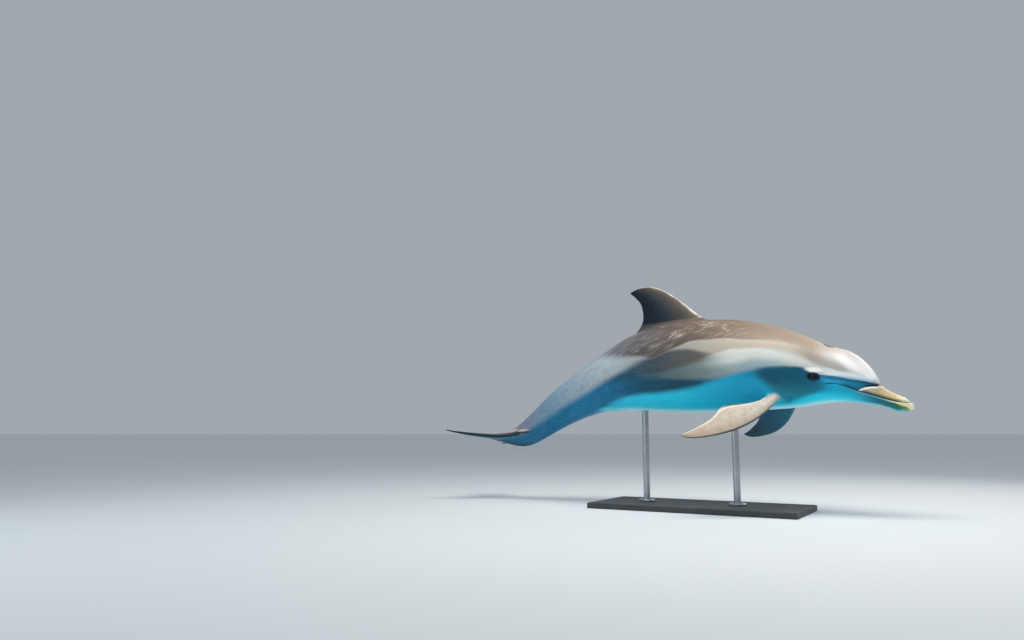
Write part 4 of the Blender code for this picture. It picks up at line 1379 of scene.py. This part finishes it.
    # painted shade along the mouth's line
    mouth_line_shade = p.mul(p.step(p.math('ABSOLUTE', md), 0.0036, 0.0008), between(0.672, 0.70))
    col = lay(mouth_line_shade, col, rgb("#0c2430"), 0.92)
    # painted shade in the crease at the melon's foot
    foot_crease_shade = p.mul(p.mul(p.step(p.math('ABSOLUTE', p.add(fd, 0.002)), 0.0070, 0.0020), between(0.828, 0.87, 0.918, 0.926)),
                      p.step(md, 0.004, 0.010))
    col = lay(p.mul(foot_crease_shade, p.step(fd, 0.002, -0.001)), col, rgb("#0a1c28"), 0.92)

    # painted shade inside the blowhole's slit and in the hollow behind it, a pale brim on its front lip; the vent's
    # slit is painted grey
    bx = p.math('DIVIDE', p.sub(x, BLOW_X + 0.001), 0.012)
    by = p.math('DIVIDE', y, 0.024)
    blowhole_slit_shade = p.mul(p.step(p.math('SQRT', p.add(p.mul(bx, bx), p.mul(by, by))), 1.30, 0.40), p.step(z, 0.78, 0.80))
    cx_ = p.math('DIVIDE', p.sub(x, BLOW_X - 0.024), 0.036)
    cy_ = p.math('DIVIDE', y, 0.052)
    blowhole_hollow_shade = p.mul(p.step(p.math('SQRT', p.add(p.mul(cx_, cx_), p.mul(cy_, cy_))), 1.10, 0.60),
                 p.mul(p.step(x, BLOW_X + 0.010, BLOW_X + 0.002), p.step(z, 0.78, 0.80)))
    col = lay(blowhole_hollow_shade, col, rgb("#17181a"), 0.93)
    brim = p.mul(p.step(p.math('SQRT', p.add(p.mul(bx, bx), p.mul(by, by))), 2.3, 1.5),
                 p.mul(p.step(x, BLOW_X + 0.006, BLOW_X + 0.012), p.step(z, 0.78, 0.80)))
    col = lay(brim, col, rgb("#e6ddd0"), 0.60)
    col = lay(blowhole_slit_shade, col, rgb("#1a1514"), 0.92)
    vx = p.math('DIVIDE', p.sub(x, -0.452), 0.052)
    vent_m = p.mul(p.step(p.math('SQRT', p.add(p.mul(vx, vx), p.mul(p.mul(y, 90.0), p.mul(y, 90.0)))), 1.3, 0.5),
                   p.step(z, 0.62, 0.58))
    col = lay(vent_m, col, rgb("#7c8b94"), 0.6)

    # scratches and tooth rakes, pale, in patches on the cape; turn is their
    # slope against the body's own line
    def strokes(turn_, scale, lo_, hi_):
        ct, st = math.cos(math.radians(turn_)), math.sin(math.radians(turn_))
        a = p.add(p.mul(fs, ct), p.mul(fh, st))
        b = p.sub(p.mul(fh, ct), p.mul(fs, st))
        v = p.join(p.mul(a, scale[0]), p.mul(fy, scale[1]), p.mul(b, scale[2]))
        return p.step(p.noise(v, 1.0, 2.0, 0.5, 0.25), lo_, hi_)

    def place(cx_, cz_, rx, rz):
        return oval(cx_, cz_, rx, rz, 0.35, 1.15)

    rear = p.mul(strokes(24, (10.0, 30.0, 270.0), 0.56, 0.65), place(-0.27, 0.885, 0.17, 0.10))
    rear2 = p.mul(strokes(22, (8.0, 25.0, 170.0), 0.54, 0.66), place(-0.44, 0.830, 0.17, 0.09))
    mids = p.mul(strokes(32, (16.0, 30.0, 250.0), 0.51, 0.59), place(-0.055, 0.925, 0.070, 0.030))
    fore = p.mul(strokes(14, (18.0, 30.0, 260.0), 0.52, 0.60), place(0.110, 0.978, 0.060, 0.026))
    fore2 = p.mul(strokes(-30, (16.0, 30.0, 230.0), 0.53, 0.61), place(0.225, 0.952, 0.060, 0.030))
    marks = p.math('MAXIMUM', p.math('MAXIMUM', p.mul(rear, 0.40), mids), p.math('MAXIMUM', fore, p.mul(fore2, 0.75)))
    marks = p.mul(marks, cape_m)
    stray = p.mul(p.mul(strokes(24, (12.0, 26.0, 150.0), 0.60, 0.68), cape_m), between(-0.45, -0.20, 0.25, 0.45))
    scuffs = p.mul(strokes(20, (12.0, 25.0, 60.0), 0.50, 0.70), p.mul(cape_m, between(-0.70, -0.40, 0.15, 0.40)))
    col = lay(scuffs, col, rgb("#a1968d"), 0.26)
    col = lay(rear2, col, rgb("#dcdde0"), 0.22)
    col = lay(stray, col, rgb("#c9c0b6"), 0.32)
    col = lay(marks, col, rgb("#e0d6ca"), 0.66)

    # dorsal fin: bronze-grey, darker behind, a pale leading edge that is partly a painted highlight
    dc = p.add(chord_, p.mul(p.sub(even, 0.5), 0.14))
    dorsal_c = p.ramp(dc, [(0.00, rgb("#e8e6e0")), (0.024, rgb("#b5ab9e")), (0.062, rgb("#6a6057")),
                           (0.22, rgb("#544e49")), (0.42, rgb("#3b3e41")), (0.58, rgb("#1e2c36")),
                           (0.78, rgb("#0a1826")), (1.00, rgb("#07101c"))])
    dorsal_c = lay(p.mul(p.step(span_, 0.60, 0.97), p.step(chord_, 0.02, 0.22)), dorsal_c, rgb("#07121f"), 0.92)
    root = p.step(p.add(p.add(span_, p.mul(p.sub(slow, 0.5), 0.08)), p.mul(chord_, 0.02)), 0.175, 0.235)
    dorsal_c = p.mix(root, lay(p.step(chord_, 0.35, 0.9), cape_c, rgb("#3c3a3e"), 0.55), dorsal_c)
    col = p.mix(p.step(is_d, 0.05, 0.60), col, dorsal_c)

    # flippers: sandy above, painted blue-grey shade below, a thin dark edge
    flip_c = p.ramp(p.add(span_, p.mul(p.sub(even, 0.5), 0.22)),
                    [(0.0, rgb("#c6c1b8")), (0.18, rgb("#cdc4b8")), (0.45, rgb("#cdc0af")),
                     (0.75, rgb("#c1ae98")), (1.0, rgb("#998a76"))])
    # painted shade toward the leading edge
    flip_c = lay(p.mul(p.step(chord_, 0.50, 0.10), p.step(span_, 0.15, 0.5)), flip_c, rgb("#a58b70"), 0.26)
    blot = p.noise(p.scaled(rest_, (1.0, 1.0, 1.6)), 34.0, 4.0, 0.65)
    flip_c = lay(p.step(blot, 0.46, 0.64), flip_c, rgb("#a98468"), 0.35)
    # a painted highlight inside the trailing edge and a painted shadow line along it
    flip_c = lay(p.mul(p.step(chord_, 0.82, 0.90), p.step(span_, 0.08, 0.22)), flip_c, rgb("#f4efe4"), 0.60)
    flip_c = lay(p.mul(p.step(chord_, 0.925, 0.950), p.mul(p.step(span_, 0.14, 0.22), p.step(span_, 0.56, 0.46))),
                 flip_c, rgb("#0a2634"), 0.90)
    flip_c = lay(p.mul(p.step(chord_, 0.085, 0.012), p.step(span_, 0.06, 0.22)), flip_c, rgb("#16242e"), 0.90)
    flipper_underside_shade_c = p.mix(p.step(span_, 0.15, 0.85), rgb("#14748f"), rgb("#0c3c50"))
    flip_c = p.mix(p.step(upper_, -0.15, 0.20), flipper_underside_shade_c, flip_c)
    frayed = p.add(p.add(is_f, p.mul(p.sub(even, 0.5), 0.35)), p.mul(p.sub(streak, 0.5), 0.5))
    over = p.add(p.sub(chord_, p.add(0.60, p.mul(span_, 2.2))), p.mul(p.sub(streak, 0.5), 0.20))
    flip_c = lay(p.mul(p.step(over, -0.10, 0.0), p.step(span_, 0.22, 0.12)), flip_c, col, 0.70)
    col = p.mix(p.step(frayed, 0.42, 0.95), col, flip_c)

    # flukes: a pale pink root, partly a painted highlight; painted water light and shade on the underside; painted
    # shade along the leading edge
    fluke_c = p.ramp(p.add(span_, p.mul(p.sub(even, 0.5), 0.2)),
                     [(0.0, rgb("#dccbc0")), (0.20, rgb("#bfaca2")), (0.38, rgb("#7d7f84")),
                      (0.70, rgb("#4b5661")), (1.0, rgb("#27343f"))])
    fluke_c = lay(p.step(chord_, 0.90, 0.98), fluke_c, rgb("#22323d"), 0.75)
    fluke_underside_shade_c = p.mix(p.step(span_, 0.1, 0.8), rgb("#2a86a2"), rgb("#12384c"))
    fluke_c = p.mix(p.step(upper_, -0.10, 0.15), fluke_underside_shade_c, fluke_c)
    fluke_c = lay(p.step(chord_, 0.13, 0.03), fluke_c, rgb("#0c1c28"), 0.92)
    fluke_c = lay(p.mul(p.step(upper_, 0.15, -0.10), p.step(chord_, 0.92, 0.99)), fluke_c, rgb("#0c2433"), 0.85)
    col = p.mix(p.step(is_k, 0.10, 0.80), col, fluke_c)
    hem_t = p.mul(p.step(p.sub(z, height([(-1.25, 0.350), (-1.20, 0.345), (-1.164, 0.334), (-1.097, 0.325),
                                          (-1.05, 0.328), (-1.00, 0.345), (-0.90, 0.40)])), 0.016, 0.003),
                  between(-1.24, -1.18, -1.05, -0.98))
    col = lay(hem_t, col, rgb("#0a3348"), 0.80)
    # a painted highlight on the right fluke's root, and a painted shadow line under it
    lit = oval(-1.066, 0.412, 0.050, 0.009, 0.45, 1.15, math.radians(4))
    col = lay(p.mul(lit, p.step(y, 0.0, -0.012)), col, rgb("#dcc6ba"), 0.80)
    crease = oval(-1.058, 0.399, 0.058, 0.0068, 0.45, 1.15, math.radians(4))
    col = lay(p.mul(crease, p.step(y, 0.0, -0.012)), col, rgb("#0a1820"), 0.85)

    # mottling and stains over it all, fainter on the fins and the head
    fins_ = p.math('MINIMUM', p.add(p.add(is_d, is_f), is_k), 1.0)
    body_ = p.mul(p.step(fins_, 0.0, 1.0, 1.0, 0.15), p.step(x, 0.35, 0.70, 1.0, 0.45))
    tail_ = p.step(x, -0.15, -0.60, 0.6, 1.0)
    col = lay(p.mul(p.mul(body_, tail_), p.step(streak, 0.42, 0.72, 0.0, 0.09)), col, rgb("#3c4c58"))
    col = lay(p.mul(p.mul(body_, tail_), p.step(streak, 0.58, 0.36, 0.0, 0.10)), col, p.mix(0.80, rgb("#ffffff"), col))
    col = p.mix(p.step(fine, 0.50, 0.80, 0.0, 0.12), col, rgb("#6b6e70"), 'MULTIPLY')
    pores = p.cells(rest_, 260.0)
    grain = p.noise(rest_, 420.0, 2.0, 0.6)
    nrm_ = p.bump(p.add(p.mul(pores, 0.35), p.mul(grain, 0.65)), 0.20, 0.0006)
    lines = p.noise(p.scaled(flow_, (26.0, 130.0, 130.0)), 1.0, 3.0, 0.6, 0.2)
    nrm_ = p.bump(p.add(p.mul(lines, 0.6), p.mul(marks, 0.8)), 0.25, 0.0008, nrm_)
    rough = p.add(p.mul(p.sub(mid, 0.5), 0.18), p.mul(p.sub(fine, 0.5), 0.12))
    rough = p.add(rough, p.step(mouth_line_shade, 0.0, 1.0, 0.42, 0.20))
    rough = p.add(rough, p.mul(marks, 0.12))
    rough = p.sub(rough, p.mul(patch, 0.12))
    p.set(Base_Color=col, Roughness=p.math('MINIMUM', p.math('MAXIMUM', rough, 0.2), 0.75), Normal=nrm_)
    p.shader.inputs["Specular IOR Level"].default_value = 0.17
    p.shader.inputs["Coat Weight"].default_value = 0.05
    p.shader.inputs["Coat Roughness"].default_value = 0.22
    return p.mat


def eye_paint():
    """Dark brown iris round a wide, low pupil, brown-grey at the edge of the ball."""
    p = Paint("eye_glass")
    x, y, z = p.split(p.attr("gaze").outputs["Vector"])    # out, along, up, in ball radii
    r = p.math('SQRT', p.add(p.mul(y, y), p.mul(z, z)))
    slit = p.math('SQRT', p.add(p.mul(p.math('DIVIDE', y, 0.36), p.math('DIVIDE', y, 0.36)),
                                p.mul(p.math('DIVIDE', z, 0.17), p.math('DIVIDE', z, 0.17))))
    ang = p.math('ARCTAN2', z, y)
    rays = p.noise(p.join(p.mul(ang, 9.0), p.mul(r, 3.0), 0.0), 1.0, 3.0, 0.6)
    iris = p.mix(p.step(rays, 0.3, 0.7), rgb("#070d18"), rgb("#171a20"))
    iris = p.mix(p.step(r, 0.44, 0.60), iris, rgb("#040914"))
    col = p.mix(p.step(slit, 1.12, 0.92), iris, rgb("#020203"))
    col = p.mix(p.step(r, 0.60, 0.74), col, rgb("#050d1c"))
    col = p.mix(p.step(r, 0.74, 0.95), col, rgb("#081426"))
    p.set(Base_Color=col)
    p.shader.inputs["Roughness"].default_value = 0.18
    p.shader.inputs["Specular IOR Level"].default_value = 0.3
    p.shader.inputs["Coat Weight"].default_value = 0.22
    p.shader.inputs["Coat Roughness"].default_value = 0.02
    return p.mat


def coat_paint():
    """Charcoal powder coat: a fine orange peel with a little dust on top."""
    p = Paint("stand_powder_coat")
    tc = p.t.nodes.new("ShaderNodeTexCoord")
    o = tc.outputs["Object"]
    peel = p.noise(o, 900.0, 2.0, 0.5)
    wide = p.noise(o, 14.0, 4.0, 0.6)
    geo = p.t.nodes.new("ShaderNodeNewGeometry")
    nx_, ny_, nz_ = p.split(geo.outputs["Normal"])
    dust = p.mul(p.step(nz_, 0.6, 0.95), p.step(wide, 0.45, 0.75))
    col = p.mix(p.step(wide, 0.3, 0.7), rgb("#33373a"), rgb("#3c4043"))
    col = p.mix(p.mul(dust, 0.12), col, rgb("#8d8f8e"))
    p.set(Base_Color=col, Roughness=p.step(wide, 0.3, 0.7, 0.50, 0.60, kind='LINEAR'),
          Normal=p.bump(peel, 0.25, 0.0005))
    return p.mat


def steel_paint():
    """Brushed steel, the brushing running round the rods."""
    p = Paint("stand_brushed_steel")
    tc = p.t.nodes.new("ShaderNodeTexCoord")
    o = tc.outputs["Object"]
    brush = p.noise(p.scaled(o, (6.0, 6.0, 900.0)), 1.0, 3.0, 0.7)
    wide = p.noise(o, 18.0, 3.0, 0.6)
    col = p.mix(p.step(wide, 0.3, 0.7), rgb("#a9adb0"), rgb("#b9bcbe"))
    p.set(Base_Color=col, Roughness=p.add(p.step(brush, 0.3, 0.7, 0.26, 0.40, kind='LINEAR'),
                                          p.mul(p.sub(wide, 0.5), 0.08)),
          Normal=p.bump(brush, 0.12, 0.0003))
    p.shader.inputs["Metallic"].default_value = 1.0
    return p.mat


skin.data.materials.append(skin_paint())


# ------------------------------------------------------------ the eyes
def ball_mesh(name, centre, radius, side, across=48, rings=32):
    """A globe whose poles lie along y; a low dome over the front is the cornea."""
    co_, fc, gaze, uv = [], [], [], []
    for i in range(rings + 1):
        th = math.pi * i / rings
        for j in range(across):
            ph = 2 * math.pi * j / across
            d = np.array([math.sin(th) * math.cos(ph), side * math.cos(th), math.sin(th) * math.sin(ph)])
            swell = 0.0006 * math.exp(-(th / 0.42) ** 4)
            co_.append(np.array(centre) + d * (radius - 0.0006 + swell))
            gaze.append((d[1] * side, d[0], d[2]))
    for i in range(rings):
        for j in range(across):
            j2 = (j + 1) % across
            a, b, c, d = i * across + j, i * across + j2, (i + 1) * across + j2, (i + 1) * across + j
            q = [a, b, c, d]
            uvq = [((j + du) / across, (i + dv) / rings) for du, dv in ((0, 0), (1, 0), (1, 1), (0, 1))]
            if i == 0:
                q, uvq = [a, c, d], [uvq[0], uvq[2], uvq[3]]
            elif i == rings - 1:
                q, uvq = [a, b, d], [uvq[0], uvq[1], uvq[3]]
            if side > 0:
                q, uvq = q[::-1], uvq[::-1]
            fc.append(q)
            uv.append(uvq)
    ob = to_object(name, co_, fc, uv)
    at_ = ob.data.attributes.new("gaze", 'FLOAT_VECTOR', 'POINT')
    at_.data.foreach_set("vector", np.array(gaze, np.float32).ravel())
    bm = bmesh.new()
    bm.from_mesh(ob.data)
    bmesh.ops.remove_doubles(bm, verts=bm.verts, dist=1e-6)
    bmesh.ops.recalc_face_normals(bm, faces=bm.faces)
    bm.to_mesh(ob.data)
    bm.free()
    ob.data.shade_smooth()
    return ob


eye_mat = eye_paint()
pieces = [skin]
for s, tag in ((1, "left"), (-1, "right")):
    lo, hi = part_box("eye_" + tag)
    ball = ball_mesh("eyeball_" + tag, tuple((np.array(lo) + np.array(hi)) / 2), EYE_R, s)
    ball.data.materials.append(eye_mat)
    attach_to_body(ball, "root")
    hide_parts("eye_" + tag)
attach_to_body(skin, "root")
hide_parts("head", "lower_jaw", "trunk", "tail_stock", "dorsal_fin",
            "flipper_left", "flipper_right", "fluke_left", "fluke_right")

# ------------------------------------------------------------ the stand
coat_mat, steel_mat = coat_paint(), steel_paint()
for name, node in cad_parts.items():
    if name.startswith("stand_"):
        node.data.materials.clear()
        node.data.materials.append(coat_mat if name == "stand_base" else steel_mat)

# ------------------------------------------------------------ floor, light, camera
floor_mat = Paint("floor_pale")
floor_mat.set(Base_Color=rgb("#e8ebed"))
floor_mat.shader.inputs["Roughness"].default_value = 0.75
me = bpy.data.meshes.new("floor")
me.from_pydata([(-300, -300, 0), (300, -300, 0), (300, 300, 0), (-300, 300, 0)], [], [(0, 1, 2, 3)])
me.materials.append(floor_mat.mat)
floor = bpy.data.objects.new("floor", me)
scene.collection.objects.link(floor)

world = bpy.data.worlds.new("studio")
world.use_nodes = True
bg = world.node_tree.nodes["Background"]
bg.inputs[0].default_value = rgb("#dbe6ee")
bg.inputs[1].default_value = 0.50
scene.world = world


def area(name, at, aim, size, power, colour):
    d = bpy.data.lights.new(name, 'AREA')
    d.shape, d.size, d.size_y = 'RECTANGLE', size[0], size[1]
    d.energy, d.color = power, colour
    o = bpy.data.objects.new(name, d)
    o.location = at
    o.rotation_euler = (Vector(aim) - Vector(at)).to_track_quat('-Z', 'Y').to_euler()
    scene.collection.objects.link(o)
    return o


area("key", (0.5, -0.9, 3.4), (0.0, 0.0, 0.6), (2.4, 1.3), 85, (1.0, 0.97, 0.93))
area("fill", (-2.4, -3.6, 1.3), (0.0, 0.0, 0.7), (2.4, 1.8), 16, (0.76, 0.93, 1.0))
area("rim", (1.8, 2.6, 2.4), (0.1, 0.0, 0.8), (2.0, 1.2), 24, (1.0, 0.98, 0.95))

scene.view_settings.view_transform = 'Standard'
scene.view_settings.look = 'None'

cam = bpy.data.cameras.new("camera")
cam.lens, cam.sensor_width, cam.sensor_fit = 28.0, 36.0, 'HORIZONTAL'
cam.clip_start, cam.clip_end = 0.05, 80
cam.dof.use_dof = False
camera = bpy.data.objects.new("camera", cam)
camera.location = (1.378, -4.245, 0.42)
turn, pitch = math.radians(31.0), math.atan(110 / 796.44)
aim = Vector((-math.sin(turn) * math.cos(pitch), math.cos(turn) * math.cos(pitch), math.sin(pitch)))
camera.rotation_euler = aim.to_track_quat('-Z', 'Y').to_euler()
scene.collection.objects.link(camera)
scene.camera = camera
